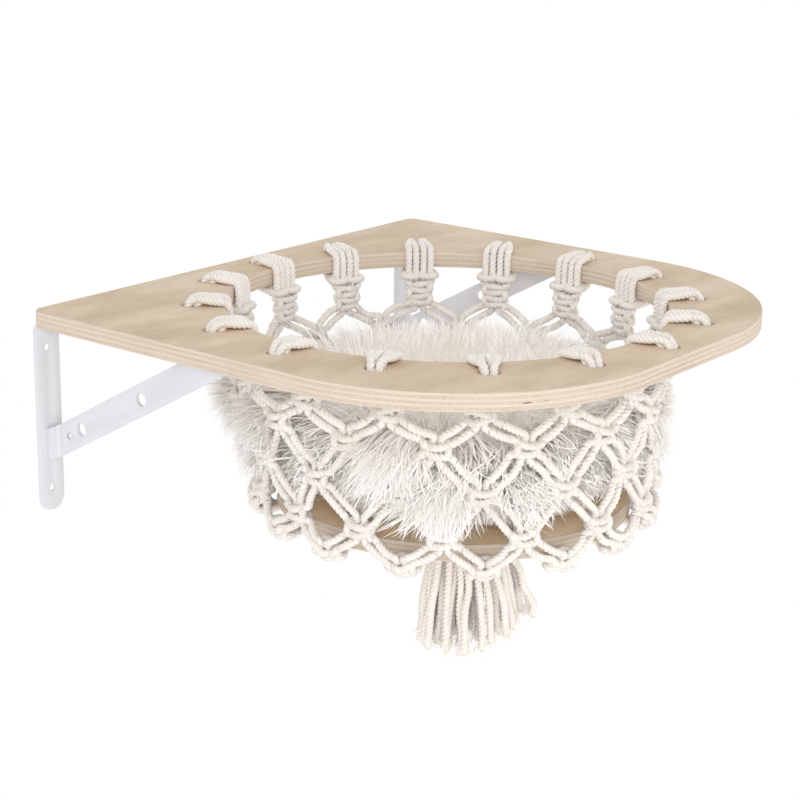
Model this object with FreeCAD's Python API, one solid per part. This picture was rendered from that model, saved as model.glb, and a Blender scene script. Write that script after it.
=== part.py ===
import FreeCAD, Part
import math
import os

os.makedirs("parts", exist_ok=True)
V = FreeCAD.Vector

# Frame: millimetres, +Z up, the wall is the plane Y = 0 and the bed stands out towards -Y.
# The origin is the centre of the four wall holes.

# Shelf panel
SHELF_WIDTH = 450.0
SHELF_DEPTH = 420.0
SHELF_THICKNESS = 13.0
FRONT_CORNER_RADIUS = 166.0
BACK_CORNER_RADIUS = 9.0
OPENING_SIDE_MARGIN = 58.0
OPENING_BACK_MARGIN = 43.0
LACE_HOLE_DIAMETER = 15.0
LACE_WEB = 17.5

# Brackets
STRIP_WIDTH = 22.5
STRIP_THICKNESS = 3.0
BRACKET_INSET = 1.25
ARM_POCKET_GAP = 0.15
BEND_RADIUS = 2.5
LEG_HEIGHT = 144.0
ARM_LENGTH = 206.0
STRIP_END_RADIUS = 11.0
WALL_HOLE_DIAMETER = 6.0
WALL_HOLE_INSET = 17.5
BRACE_WIDTH = 22.0
BRACE_INSET = 3.75
BRACE_FOOT_DROP = 92.4
BRACE_TIP_MARGIN = 41.0
BRACE_TAB = 11.5
LIGHTENING_HOLE_DIAMETER = 10.0
LIGHTENING_HOLE_AT = (32.5, 105.0)
FIXING_HOLE_DIAMETER = 5.5
FIXING_HOLE_AT = 16.5

# Wood screws through the arms
SCREW_HEEL_DISTANCE = 28.0
SCREW_TIP_MARGIN = 12.0
SCREW_SHANK_DIAMETER = 4.0
SCREW_BITE = 8.0
SCREW_HEAD_DIAMETER = 8.0
SCREW_HEAD_HEIGHT = 2.4
SCREW_CLEARANCE = 0.1

# Cotton cord
CORD = 4.6
CORD_GAP = 0.2
STRAND_PITCH = 4.8
PAIR_SLIT = 3.6
HANGER_COUNT = 16
LOOP_RISE = 3.2
FLATNESS = 1e-3

# Square knots: two turns of working cord each, with slanting corners where the cords come and go
KNOT_WIDTH = 19.0
KNOT_HEIGHT = 16.0
KNOT_THICKNESS = 11.6
KNOT_WAIST = 8.6
KNOT_END_THICKNESS = 7.0
KNOT_END_WIDTH = 4.8
KNOT_SIDE_HEIGHT = 2.4
SINNET_HEIGHT = 20.5

# Net rows, numbered from the hangers down: drop below the shelf, flare towards the opening
# (0 as wide as the base row, 1 as wide as the hangers) and share of the gathering's offset
ROW_1_DROP = 50.0
ROW_2_DROP = 85.5
ROW_3_DROP = 120.0
ROW_4_DROP = 142.0
ROW_1_FLARE = 0.75
ROW_2_FLARE = 0.33
ROW_3_FLARE = 0.12
ROW_1_LEAN = 0.10
ROW_2_LEAN = 0.25
BASE_LEAN = 0.40
GATHER_OFFSET_X = 12.0
GATHER_OFFSET_Y = -16.0

# Base disc and cushion
DISC_INSET = 31.0
DISC_THICKNESS = 13.0
DISC_NET_GAP = 1.1
SEAT_GAP = 0.3
CUSHION_HEIGHT = 94.0
CUSHION_NET_GAP = 1.5
CUSHION_FOOT_INSET = 14.0
CUSHION_SHOULDER_INSET = 22.0
CUSHION_CROWN = 10.0
CUSHION_SIDES = 40

# Gathering knot and tassel
GATHER_RADIUS = 25.0
GATHER_HEIGHT = 26.0
GATHER_SWELL = 2.5
SPOKE_START_WIDTH = 16.0
SPOKE_END_WIDTH = 8.4
SPOKE_END_HEIGHT = 9.2
TASSEL_RINGS = (1, 5, 12, 19, 27)
TASSEL_PITCH = 5.6
TASSEL_LENGTH = 87.0
TASSEL_FLARE = 1.75
TASSEL_SWING = 12.0

# Derived places
WALL_HOLE_SPACING = LEG_HEIGHT - 2 * WALL_HOLE_INSET
SHELF_UNDERSIDE = WALL_HOLE_SPACING / 2 + WALL_HOLE_INSET
SHELF_TOP = SHELF_UNDERSIDE + SHELF_THICKNESS
SCREW_AT = (SCREW_HEEL_DISTANCE, ARM_LENGTH - SCREW_TIP_MARGIN)
OPENING_RADIUS = min(SHELF_WIDTH / 2 - OPENING_SIDE_MARGIN, SHELF_DEPTH / 2 - OPENING_BACK_MARGIN)
OPENING_CENTRE = V(0, -SHELF_DEPTH / 2, 0)
DISC_RADIUS = OPENING_RADIUS - DISC_INSET
LACE_RADIUS = OPENING_RADIUS + LACE_WEB + LACE_HOLE_DIAMETER / 2
BRACKET_X = (SHELF_WIDTH - STRIP_WIDTH) / 2 - BRACKET_INSET
BRACE_X = BRACKET_X - STRIP_WIDTH / 2 + BRACE_INSET
ARM_TOP = SHELF_UNDERSIDE + STRIP_THICKNESS
BRACE_RUN = ARM_LENGTH - BRACE_TIP_MARGIN - STRIP_THICKNESS
STEP_ANGLE = 360.0 / HANGER_COUNT
GATHER_OFFSET = V(GATHER_OFFSET_X, GATHER_OFFSET_Y, 0)
PAIR_WIDTH = CORD + STRAND_PITCH
HANGER_HALF_WIDTH = PAIR_SLIT / 2 + PAIR_WIDTH
SINNET_WIDTH = 2 * HANGER_HALF_WIDTH
HANG_RADIUS = math.sqrt(OPENING_RADIUS ** 2 - HANGER_HALF_WIDTH ** 2) - CORD_GAP - CORD / 2
BASE_ROW_RADIUS = DISC_RADIUS + KNOT_THICKNESS + DISC_NET_GAP
COLLAR_Z = SHELF_UNDERSIDE - CORD_GAP - CORD / 2 - STRAND_PITCH
SINNET_TOP = COLLAR_Z - CORD / 2 - CORD_GAP


def unit(vector):
    return V(vector).normalize()


def polar(centre, radius, degrees, z):
    angle = math.radians(degrees)
    return V(centre.x + radius * math.cos(angle), centre.y + radius * math.sin(angle), z)


def prism(points, depth):
    """Extrude the closed polygon through the points along the vector depth."""
    return Part.Face(Part.makePolygon(points + points[:1])).extrude(depth)


def cylinder(diameter, length, base, axis):
    return Part.makeCylinder(diameter / 2, length, base, axis)


def rounded_plate(width, length, end_radius, thickness):
    """Strip from Y = 0 to Y = length, centred on X, its far corners rounded, lying on Z = 0."""
    half = width / 2
    inset = half - end_radius
    slant = end_radius * math.sqrt(0.5)
    centre_y = length - end_radius
    slant_y = centre_y + slant
    edges = [
        Part.makeLine(V(-half, 0, 0), V(half, 0, 0)),
        Part.makeLine(V(half, 0, 0), V(half, centre_y, 0)),
        Part.Arc(V(half, centre_y, 0), V(inset + slant, slant_y, 0), V(inset, length, 0)).toShape(),
        Part.makeLine(V(inset, length, 0), V(-inset, length, 0)),
        Part.Arc(V(-inset, length, 0), V(-inset - slant, slant_y, 0), V(-half, centre_y, 0)).toShape(),
        Part.makeLine(V(-half, centre_y, 0), V(-half, 0, 0)),
    ]
    return Part.Face(Part.Wire(edges)).extrude(V(0, 0, thickness))


def corner_arc(centre, radius, from_degrees, to_degrees):
    middle = (from_degrees + to_degrees) / 2
    ends = [polar(centre, radius, degrees, centre.z) for degrees in (from_degrees, middle, to_degrees)]
    return Part.Arc(*ends).toShape()


def shelf_outline():
    half = SHELF_WIDTH / 2
    back_x = half - BACK_CORNER_RADIUS
    front_x = half - FRONT_CORNER_RADIUS
    front_y = FRONT_CORNER_RADIUS - SHELF_DEPTH
    level = SHELF_UNDERSIDE
    edges = [
        Part.makeLine(V(-back_x, 0, level), V(back_x, 0, level)),
        corner_arc(V(back_x, -BACK_CORNER_RADIUS, level), BACK_CORNER_RADIUS, 90, 0),
        Part.makeLine(V(half, -BACK_CORNER_RADIUS, level), V(half, front_y, level)),
        corner_arc(V(front_x, front_y, level), FRONT_CORNER_RADIUS, 0, -90),
        Part.makeLine(V(front_x, -SHELF_DEPTH, level), V(-front_x, -SHELF_DEPTH, level)),
        corner_arc(V(-front_x, front_y, level), FRONT_CORNER_RADIUS, -90, -180),
        Part.makeLine(V(-half, front_y, level), V(-half, -BACK_CORNER_RADIUS, level)),
        corner_arc(V(-back_x, -BACK_CORNER_RADIUS, level), BACK_CORNER_RADIUS, 180, 90),
    ]
    return Part.Wire(edges)


def shelf_panel():
    panel = Part.Face(shelf_outline()).extrude(V(0, 0, SHELF_THICKNESS))
    foot = OPENING_CENTRE + V(0, 0, SHELF_UNDERSIDE)
    panel = panel.cut(cylinder(2 * OPENING_RADIUS, SHELF_THICKNESS, foot, V(0, 0, 1)))
    cuts = []
    for index in range(HANGER_COUNT):
        hole = polar(OPENING_CENTRE, LACE_RADIUS, index * STEP_ANGLE, SHELF_UNDERSIDE)
        cuts.append(cylinder(LACE_HOLE_DIAMETER, SHELF_THICKNESS, hole, V(0, 0, 1)))
    pilot = SCREW_SHANK_DIAMETER + 2 * SCREW_CLEARANCE
    for side in (-1, 1):
        cuts.append(arm_pocket(side))
        for reach in SCREW_AT:
            mouth = V(side * BRACKET_X, -reach, ARM_TOP)
            cuts.append(cylinder(pilot, SCREW_BITE + SCREW_CLEARANCE, mouth, V(0, 0, 1)))
    return panel.cut(cuts)


def arm_pocket(side):
    """Recess in the shelf's underside, open at the back edge, that takes one arm flush."""
    width = STRIP_WIDTH + 2 * ARM_POCKET_GAP
    length = ARM_LENGTH + ARM_POCKET_GAP
    pocket = rounded_plate(width, length, STRIP_END_RADIUS + ARM_POCKET_GAP, STRIP_THICKNESS)
    pocket.rotate(V(0, 0, 0), V(0, 0, 1), 180)
    pocket.translate(V(side * BRACKET_X, 0, SHELF_UNDERSIDE))
    return pocket


def bracket_plate(side):
    """Wall leg and arm in one bent strip: the leg lies on the wall, the arm in the shelf's pocket."""
    bend = BEND_RADIUS + STRIP_THICKNESS
    leg_length = LEG_HEIGHT + STRIP_THICKNESS - bend
    leg = rounded_plate(STRIP_WIDTH, leg_length, STRIP_END_RADIUS, STRIP_THICKNESS)
    leg.rotate(V(0, 0, 0), V(1, 0, 0), -90)
    leg.translate(V(0, -STRIP_THICKNESS, ARM_TOP - bend))
    arm = rounded_plate(STRIP_WIDTH, ARM_LENGTH - bend, STRIP_END_RADIUS, STRIP_THICKNESS)
    arm.rotate(V(0, 0, 0), V(0, 0, 1), 180)
    arm.translate(V(0, -bend, SHELF_UNDERSIDE))
    half = STRIP_WIDTH / 2
    section = [
        V(-half, 0, ARM_TOP - bend),
        V(half, 0, ARM_TOP - bend),
        V(half, -STRIP_THICKNESS, ARM_TOP - bend),
        V(-half, -STRIP_THICKNESS, ARM_TOP - bend),
    ]
    corner = Part.Face(Part.makePolygon(section + section[:1]))
    corner = corner.revolve(V(0, -bend, ARM_TOP - bend), V(1, 0, 0), 90)
    plate = leg.fuse([corner, arm]).removeSplitter()
    plate.translate(V(side * BRACKET_X, 0, 0))
    cuts = []
    for z in (WALL_HOLE_SPACING / 2, -WALL_HOLE_SPACING / 2):
        cuts.append(cylinder(WALL_HOLE_DIAMETER, STRIP_THICKNESS, V(side * BRACKET_X, 0, z), V(0, -1, 0)))
    hole = SCREW_SHANK_DIAMETER + 2 * SCREW_CLEARANCE
    for reach in SCREW_AT:
        place = V(side * BRACKET_X, -reach, SHELF_UNDERSIDE)
        cuts.append(cylinder(hole, STRIP_THICKNESS, place, V(0, 0, 1)))
    return plate.cut(cuts)


def folded_profile(run, tab):
    """L-shaped section of a folded strip in the XY plane, outer corner at the origin."""
    outer = BEND_RADIUS + STRIP_THICKNESS
    thick = STRIP_THICKNESS
    mid_outer = outer * (1 - math.sqrt(0.5))
    mid_inner = outer - BEND_RADIUS * math.sqrt(0.5)
    edges = [
        Part.makeLine(V(outer, 0, 0), V(tab, 0, 0)),
        Part.makeLine(V(tab, 0, 0), V(tab, thick, 0)),
        Part.makeLine(V(tab, thick, 0), V(outer, thick, 0)),
        Part.Arc(V(outer, thick, 0), V(mid_inner, mid_inner, 0), V(thick, outer, 0)).toShape(),
        Part.makeLine(V(thick, outer, 0), V(thick, run, 0)),
        Part.makeLine(V(thick, run, 0), V(0, run, 0)),
        Part.makeLine(V(0, run, 0), V(0, outer, 0)),
        Part.Arc(V(0, outer, 0), V(mid_outer, mid_outer, 0), V(outer, 0, 0)).toShape(),
    ]
    return Part.Face(Part.Wire(edges))


def bracket_brace(side):
    """Sloping strip on edge, folded at both ends to tabs that lie on the leg and on the arm."""
    foot = V(0, -STRIP_THICKNESS, SHELF_UNDERSIDE - BRACE_FOOT_DROP)
    along = unit(V(0, -BRACE_RUN, BRACE_FOOT_DROP))
    across = V(0, along.z, -along.y)
    length = math.hypot(BRACE_RUN, BRACE_FOOT_DROP)
    spare = BRACE_WIDTH * 2
    reach = length + 2 * spare
    tab = BRACE_TAB
    lower = folded_profile(reach, tab).extrude(V(0, 0, reach))
    lower.rotate(V(0, 0, 0), V(0, 0, 1), 180)
    lower = lower.mirror(V(0, 0, 0), V(1, 0, 0))
    lower.translate(V(0, foot.y, SHELF_UNDERSIDE - reach))
    upper = folded_profile(reach, tab).extrude(V(0, 0, reach))
    upper.rotate(V(0, 0, 0), V(1, 0, 0), -90)
    upper.translate(V(0, foot.y - reach, SHELF_UNDERSIDE))
    half = BRACE_WIDTH / 2
    low_end = foot - along * spare
    high_end = foot + along * (length + spare)
    depth = V(tab + STRIP_THICKNESS, 0, 0)
    low_corners = [low_end + across * half, low_end - across * half]
    high_corners = [high_end - across * half, high_end + across * half]
    band = prism(low_corners + high_corners, depth)
    split = foot + along * (length / 2)
    split_line = [split - across * reach, split + across * reach]
    below = prism(split_line + [point - along * reach for point in reversed(split_line)], depth)
    brace = band.common(lower).common(below).fuse(band.common(upper).cut(below)).removeSplitter()
    cuts = []
    for distance in LIGHTENING_HOLE_AT:
        cuts.append(cylinder(LIGHTENING_HOLE_DIAMETER, STRIP_THICKNESS, foot + along * distance, V(1, 0, 0)))
    cuts.append(cylinder(FIXING_HOLE_DIAMETER, STRIP_THICKNESS, foot + along * FIXING_HOLE_AT, V(1, 0, 0)))
    brace = brace.cut(cuts)
    if side < 0:
        brace = brace.mirror(V(0, 0, 0), V(1, 0, 0))
    brace.translate(V(side * BRACE_X, 0, 0))
    return brace


def bracket_screws(side):
    """Pan-head wood screws, driven up through one arm into the shelf."""
    screws = []
    for reach in SCREW_AT:
        seat = V(side * BRACKET_X, -reach, SHELF_UNDERSIDE)
        shank = cylinder(SCREW_SHANK_DIAMETER, STRIP_THICKNESS + SCREW_BITE, seat, V(0, 0, 1))
        head = cylinder(SCREW_HEAD_DIAMETER, SCREW_HEAD_HEIGHT, seat, V(0, 0, -1))
        screws.append(shank.fuse(head))
    return Part.makeCompound(screws)


def solid_between(rings):
    """Closed solid through like-numbered corners of a row of rings, with flat ends.

    Each side is one flat face, or two where its four corners don't lie in a plane.
    """
    outlines = [rings[0], rings[-1]]
    for ring, following in zip(rings, rings[1:]):
        for index in range(len(ring)):
            side = [ring[index - 1], ring[index], following[index], following[index - 1]]
            if abs((side[1] - side[0]).cross(side[2] - side[0]).dot(side[3] - side[0])) < FLATNESS:
                outlines.append(side)
            else:
                outlines += [side[:3], side[2:] + side[:1]]
    faces = [Part.Face(Part.makePolygon(outline + outline[:1])) for outline in outlines]
    solid = Part.Solid(Part.Shell(faces))
    if solid.Volume < 0:
        solid.reverse()
    return solid


def cord_run(path, outward, width=CORD, first_cut=None, last_cut=None):
    """Cord, or a flat pair of them, along straight runs that are mitred where they meet.

    Its flat face looks outward, and its two ends lie square to the cut directions.
    """
    headings = [unit(end - start) for start, end in zip(path, path[1:])]
    side = unit(headings[0].cross(outward)) * (width / 2)
    face = unit(side.cross(headings[0])) * (CORD / 2)
    ring = [path[0] + side + face, path[0] - side + face, path[0] - side - face, path[0] + side - face]
    cuts = [first_cut or headings[0]]
    cuts += [before + after for before, after in zip(headings, headings[1:])]
    cuts += [last_cut or headings[-1]]
    rings = []
    for corner, cut, heading in zip(path, cuts, headings[:1] + headings):
        ring = [point + heading * ((corner - point).dot(cut) / heading.dot(cut)) for point in ring]
        rings.append(ring)
    return solid_between(rings)


def turned_bar(turns, width, height):
    """Working cord wound round the fillers: a section with one bulge for each turn, drawn out along X."""
    step = height / (2 * turns)
    flat = KNOT_END_THICKNESS / 2
    outline = [V(-width / 2, -height / 2, -flat), V(-width / 2, -height / 2, flat)]
    for index in range(1, 2 * turns):
        bulge = KNOT_THICKNESS - flat if index % 2 else KNOT_WAIST - flat
        outline.append(V(-width / 2, index * step - height / 2, bulge))
    outline += [V(-width / 2, height / 2, flat), V(-width / 2, height / 2, -flat)]
    return prism(outline, V(width, 0, 0))


def lower_corners(width, height):
    """Half plan of a knot's lower end, from its right side to the middle, as (along, down)."""
    slant = (KNOT_HEIGHT - KNOT_SIDE_HEIGHT) / 2
    return [(width / 2, height / 2 - slant), (width / 2 - (KNOT_WIDTH - KNOT_END_WIDTH) / 2, height / 2)]


def plan_prism(plan):
    return prism([V(along, down, -KNOT_THICKNESS) for along, down in plan], V(0, 0, 2 * KNOT_THICKNESS))


def knot_body():
    lower = lower_corners(KNOT_WIDTH, KNOT_HEIGHT)
    right = [(along, -down) for along, down in reversed(lower)] + lower
    left = [(-along, down) for along, down in reversed(right)]
    return turned_bar(2, KNOT_WIDTH, KNOT_HEIGHT).common(plan_prism(right + left))


def sinnet_body():
    """Two square knots tied one below the other, their turns on the side that looks into the opening."""
    right = [(SINNET_WIDTH / 2, -SINNET_HEIGHT / 2)] + lower_corners(SINNET_WIDTH, SINNET_HEIGHT)
    left = [(-along, down) for along, down in reversed(right)]
    body = turned_bar(4, SINNET_WIDTH, SINNET_HEIGHT).common(plan_prism(right + left))
    return body.mirror(V(0, 0, 0), V(0, 0, 1))


class Knot:
    """Place of a knot: its centre, and the directions along its row, down the net and outward."""

    def __init__(self, centre, outward, down, width=KNOT_WIDTH, height=KNOT_HEIGHT):
        self.centre = centre
        self.width = width
        self.height = height
        self.out = unit(outward)
        self.along = unit(down.cross(self.out))
        self.down = unit(self.out.cross(self.along))

    def placed(self, shape):
        axes = zip(self.along, self.down, self.out, self.centre)
        rows = [number for row in axes for number in row]
        copy = shape.copy()
        copy.Placement = FreeCAD.Placement(FreeCAD.Matrix(*rows))
        return copy

    def port(self, hand, end, offset):
        """Place and normal of a cord on a slanting corner (hand 1 right or -1 left, end 1 bottom or -1 top).

        The offset runs along the corner from its middle, towards the knot's side.
        """
        (side_along, side_down), (end_along, end_down) = lower_corners(self.width, self.height)
        edge = unit(V(side_along - end_along, side_down - end_down, 0))
        along = (side_along + end_along) / 2 + edge.x * offset
        down = (side_down + end_down) / 2 + edge.y * offset
        place = self.centre + self.along * (hand * along) + self.down * (end * down)
        return place, unit(self.along * (hand * -edge.y) + self.down * (end * edge.x))

    def foot(self):
        return self.centre + self.down * (self.height / 2)


def hanger_knots():
    """The sinnets under the rim, which the net's first row joins."""
    level = SINNET_TOP - SINNET_HEIGHT / 2
    knots = []
    for index in range(HANGER_COUNT):
        centre = polar(OPENING_CENTRE, HANG_RADIUS, index * STEP_ANGLE, level)
        outward = centre - OPENING_CENTRE - V(0, 0, level)
        knots.append(Knot(centre, outward, V(0, 0, -1), SINNET_WIDTH, SINNET_HEIGHT))
    return knots


def hanger_cord(hand):
    """One doubled cord: a flat pair up the rim, over the board and down the lacing hole, with its bight."""
    def place(radius, along, z):
        return OPENING_CENTRE + V(radius, hand * along, z)

    at_rim = (PAIR_SLIT / 2, HANGER_HALF_WIDTH)
    in_hole = (CORD_GAP / 2, CORD_GAP / 2 + CORD)
    midway = [(first + second) / 2 for first, second in zip(at_rim, in_hole)]
    low = SHELF_TOP + CORD_GAP
    high = low + CORD
    foot = SINNET_TOP - CORD_GAP
    crest = (HANG_RADIUS + LACE_RADIUS) / 2
    near = LACE_RADIUS - PAIR_WIDTH / 2
    far = LACE_RADIUS + PAIR_WIDTH / 2
    bottom = COLLAR_Z - CORD / 2
    sections = [
        (at_rim, (HANG_RADIUS - CORD / 2, foot), (HANG_RADIUS + CORD / 2, foot)),
        (at_rim, (HANG_RADIUS - CORD / 2, high), (HANG_RADIUS + CORD / 2, low)),
        (midway, (crest, high + LOOP_RISE), (crest, low + LOOP_RISE)),
        (in_hole, (far, high), (near, low)),
        (in_hole, (far, bottom), (near, bottom)),
    ]
    rings = []
    for (slit, side), (outer, outer_z), (inner, inner_z) in sections:
        ring = [place(outer, slit, outer_z), place(outer, side, outer_z)]
        rings.append(ring + [place(inner, side, inner_z), place(inner, slit, inner_z)])
    bight = HANG_RADIUS - STRAND_PITCH
    flank = HANGER_HALF_WIDTH + CORD_GAP + CORD / 2
    route = [
        place(near + CORD / 2, sum(in_hole) / 2, COLLAR_Z),
        place(HANG_RADIUS + PAIR_WIDTH, flank, COLLAR_Z),
        place(bight, flank, COLLAR_Z),
        place(bight, CORD_GAP, COLLAR_Z),
    ]
    return [solid_between(rings), cord_run(route, V(0, 0, 1))]


def hangers(knot):
    """One hanger is built on the +X side and turned round the opening."""
    first = knot.placed(sinnet_body()).fuse(hanger_cord(1) + hanger_cord(-1)).removeSplitter()
    shapes = []
    for index in range(HANGER_COUNT):
        shape = first.copy()
        shape.rotate(OPENING_CENTRE, V(0, 0, 1), index * STEP_ANGLE)
        shapes.append(shape)
    return shapes


def row_knots(drop, flare, lean, shift, slope):
    """Knots of one net row; shift is 0.5 where the row stands between the hangers' angles."""
    centre = OPENING_CENTRE + GATHER_OFFSET * lean
    radius = BASE_ROW_RADIUS + (HANG_RADIUS - BASE_ROW_RADIUS) * flare
    knots = []
    for index in range(HANGER_COUNT):
        place = polar(centre, radius, (index + shift) * STEP_ANGLE, SHELF_UNDERSIDE - drop)
        radial = unit(V(place.x - centre.x, place.y - centre.y, 0))
        outward = radial * slope.y + V(0, 0, slope.x)
        knots.append(Knot(place, outward, radial * slope.x - V(0, 0, slope.y)))
    return knots


def net_row(knots, above, first_above, width, offsets):
    """Each knot with its cords, which end on the slanting corners of the two knots above it."""
    solids = []
    body = knot_body()
    for index, knot in enumerate(knots):
        cords = []
        for hand, step in ((1, 0), (-1, 1)):
            upper = above[(index + first_above + step) % HANGER_COUNT]
            for offset in offsets:
                start, start_cut = knot.port(hand, -1, offset)
                end, end_cut = upper.port(-hand, 1, -offset)
                path = [start - start_cut * CORD_GAP, end + end_cut * CORD_GAP]
                cords.append(cord_run(path, knot.out + upper.out, width, start_cut, end_cut))
        solids.append(knot.placed(body).fuse(cords))
    return solids


def spokes(knots, centre, level):
    """The base row's cords run on under the disc, drawn together towards the gathering knot."""
    shapes = []
    top = V(0, 0, CORD / 2)
    for knot in knots:
        foot = knot.foot() + knot.down * CORD_GAP
        heading = unit(V(centre.x - foot.x, centre.y - foot.y, 0))
        side = V(0, 0, 1).cross(heading)
        end = V(centre.x, centre.y, level) - heading * (GATHER_RADIUS + CORD_GAP)
        start = V(foot.x, foot.y, level)
        rings = []
        sections = ((end, SPOKE_END_WIDTH, SPOKE_END_HEIGHT), (start, SPOKE_START_WIDTH, CORD))
        for place, width, height in sections:
            half = side * (width / 2)
            bottom = top - V(0, 0, height)
            corners = [half + top, top - half, bottom - half, half + bottom]
            rings.append([place + corner for corner in corners])
        slant = [(foot - point).dot(knot.down) / heading.dot(knot.down) for point in rings[1]]
        rings[1] = [point + heading * shift for point, shift in zip(rings[1], slant)]
        shapes.append(solid_between(rings))
    return shapes


def base_disc(centre, level):
    return cylinder(2 * DISC_RADIUS, DISC_THICKNESS, V(centre.x, centre.y, level), V(0, 0, 1))


def cushion(centre, level):
    """Crowned round cushion with drawn-in sides, standing on the base disc."""
    belly = BASE_ROW_RADIUS - KNOT_THICKNESS / 2 - CUSHION_NET_GAP
    foot = belly - CUSHION_FOOT_INSET
    shoulder = belly - CUSHION_SHOULDER_INSET
    side = CUSHION_HEIGHT - CUSHION_CROWN
    profile = [
        (foot, 0),
        ((foot + 3 * belly) / 4, side / 4),
        (belly, side / 2),
        ((shoulder + 2 * belly) / 3, side * 3 / 4),
        (shoulder, side),
        (shoulder / 2, side + CUSHION_CROWN * 3 / 4),
        (shoulder / 6, CUSHION_HEIGHT),
    ]
    rings = []
    for radius, height in profile:
        angles = [index * 360.0 / CUSHION_SIDES for index in range(CUSHION_SIDES)]
        rings.append([polar(centre, radius, angle, level + height) for angle in angles])
    return solid_between(rings)


def gathering_knot(centre, top):
    """Barrel-shaped knot that ties all the cords together under the disc."""
    rings = []
    neck = GATHER_RADIUS - GATHER_SWELL
    for share, radius in ((0, neck), (0.5, GATHER_RADIUS), (1, neck)):
        level = top - GATHER_HEIGHT * share
        rings.append([polar(centre, radius, index * STEP_ANGLE, level) for index in range(HANGER_COUNT)])
    return solid_between(rings)


def tassel(centre, top):
    """Cord ends in rings; their tops lie on a shallow cone that leaves room for the swing."""
    strands = []
    for ring, count in enumerate(TASSEL_RINGS):
        start_radius = ring * TASSEL_PITCH
        for index in range(count):
            angle = (index + ring / 2) * 360.0 / count
            start_z = top - (start_radius + CORD / 2) * math.tan(math.radians(TASSEL_SWING))
            start = polar(centre, start_radius, angle, start_z)
            end = polar(centre, start_radius * TASSEL_FLARE, angle, top - TASSEL_LENGTH)
            strands.append(cord_run([start, end], polar(V(0, 0, 0), 1, angle, 0)))
    return Part.makeCompound(strands)


def save(name, shape):
    shape.exportStep("parts/" + name + ".step")


save("shelf_panel", shelf_panel())
for side_name, side in (("left", -1), ("right", 1)):
    save("bracket_" + side_name + "_plate", bracket_plate(side))
    save("bracket_" + side_name + "_brace", bracket_brace(side))
    save("bracket_" + side_name + "_screws", bracket_screws(side))

rows = [hanger_knots()]
for number, shape in enumerate(hangers(rows[0][0]), start=1):
    save("hanger_%02d" % number, shape)

drops = (SHELF_UNDERSIDE - rows[0][0].centre.z, ROW_1_DROP, ROW_2_DROP, ROW_3_DROP, ROW_4_DROP)
flares = (1.0, ROW_1_FLARE, ROW_2_FLARE, ROW_3_FLARE, 0.0)
leans = (0.0, ROW_1_LEAN, ROW_2_LEAN, BASE_LEAN, BASE_LEAN)
last = len(drops) - 1
for number in range(1, last + 1):
    if number < last:
        spread = (HANG_RADIUS - BASE_ROW_RADIUS) * (flares[number + 1] - flares[number - 1])
        slope = unit(V(spread, drops[number + 1] - drops[number - 1], 0))
    else:
        slope = unit(V(-1, 1, 0))
    rows.append(row_knots(drops[number], flares[number], leans[number], number % 2 / 2, slope))

base_centre = OPENING_CENTRE + GATHER_OFFSET * BASE_LEAN
gather_centre = OPENING_CENTRE + GATHER_OFFSET
spoke_level = rows[last][0].foot().z + CORD / 2
# Below the first row, a pair of cords lies close together and is drawn as one flat band
for number in range(1, last + 1):
    first_above = 0 if number % 2 else -1
    width, offsets = (CORD, (STRAND_PITCH / 2, -STRAND_PITCH / 2)) if number == 1 else (PAIR_WIDTH, (0,))
    solids = net_row(rows[number], rows[number - 1], first_above, width, offsets)
    save("net_row_%d" % number, Part.makeCompound(solids))

save("base_spokes", Part.makeCompound(spokes(rows[last], gather_centre, spoke_level)))
disc_level = spoke_level + CORD / 2 + CORD_GAP
save("base_disc", base_disc(base_centre, disc_level))
save("fur_cushion", cushion(base_centre, disc_level + DISC_THICKNESS + SEAT_GAP))
gather_top = spoke_level + CORD / 2
save("gathering_knot", gathering_knot(gather_centre, gather_top))
save("tassel_cords", tassel(gather_centre, gather_top - GATHER_HEIGHT - SEAT_GAP))
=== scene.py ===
import math
import bmesh
import bpy
import numpy as np
from mathutils import Matrix, Vector


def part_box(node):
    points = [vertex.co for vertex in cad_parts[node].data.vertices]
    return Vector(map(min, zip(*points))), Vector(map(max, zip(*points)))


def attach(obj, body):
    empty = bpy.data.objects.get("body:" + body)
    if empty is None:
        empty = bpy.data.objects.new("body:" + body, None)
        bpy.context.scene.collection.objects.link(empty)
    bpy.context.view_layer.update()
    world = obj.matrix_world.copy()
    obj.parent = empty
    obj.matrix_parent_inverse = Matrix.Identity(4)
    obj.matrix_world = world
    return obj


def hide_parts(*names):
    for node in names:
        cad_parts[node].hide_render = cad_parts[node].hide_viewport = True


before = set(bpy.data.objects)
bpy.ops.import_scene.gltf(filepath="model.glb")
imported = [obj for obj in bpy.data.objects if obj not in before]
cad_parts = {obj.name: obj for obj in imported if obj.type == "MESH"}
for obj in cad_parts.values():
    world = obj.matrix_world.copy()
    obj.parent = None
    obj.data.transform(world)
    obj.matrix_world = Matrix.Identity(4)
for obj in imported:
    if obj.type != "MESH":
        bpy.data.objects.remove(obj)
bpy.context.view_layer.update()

# Frame: metres, the wall is Y = 0, the bed stands out towards -Y, +Z up
SHELF_LOW, SHELF_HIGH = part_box("shelf_panel")
DISC_LOW, DISC_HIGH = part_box("base_disc")
CUSHION_LOW, CUSHION_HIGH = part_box("fur_cushion")
GATHER_LOW, GATHER_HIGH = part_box("gathering_knot")
TASSEL_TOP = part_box("tassel_cords")[1].z
OPENING_CENTRE = Vector((0.0, -0.210, 0.0))
OPENING_RADIUS = 0.167
LACE_RADIUS = 0.192
LACE_HOLE_RADIUS = 0.0075
FRONT_CORNER_RADIUS = 0.166
BACK_CORNER_RADIUS = 0.009
ARM_LENGTH = 0.206
ARM_END_RADIUS = 0.011
STRIP_THICKNESS = 0.003
POCKET_GAP = 0.00015
HANGERS = 16
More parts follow.
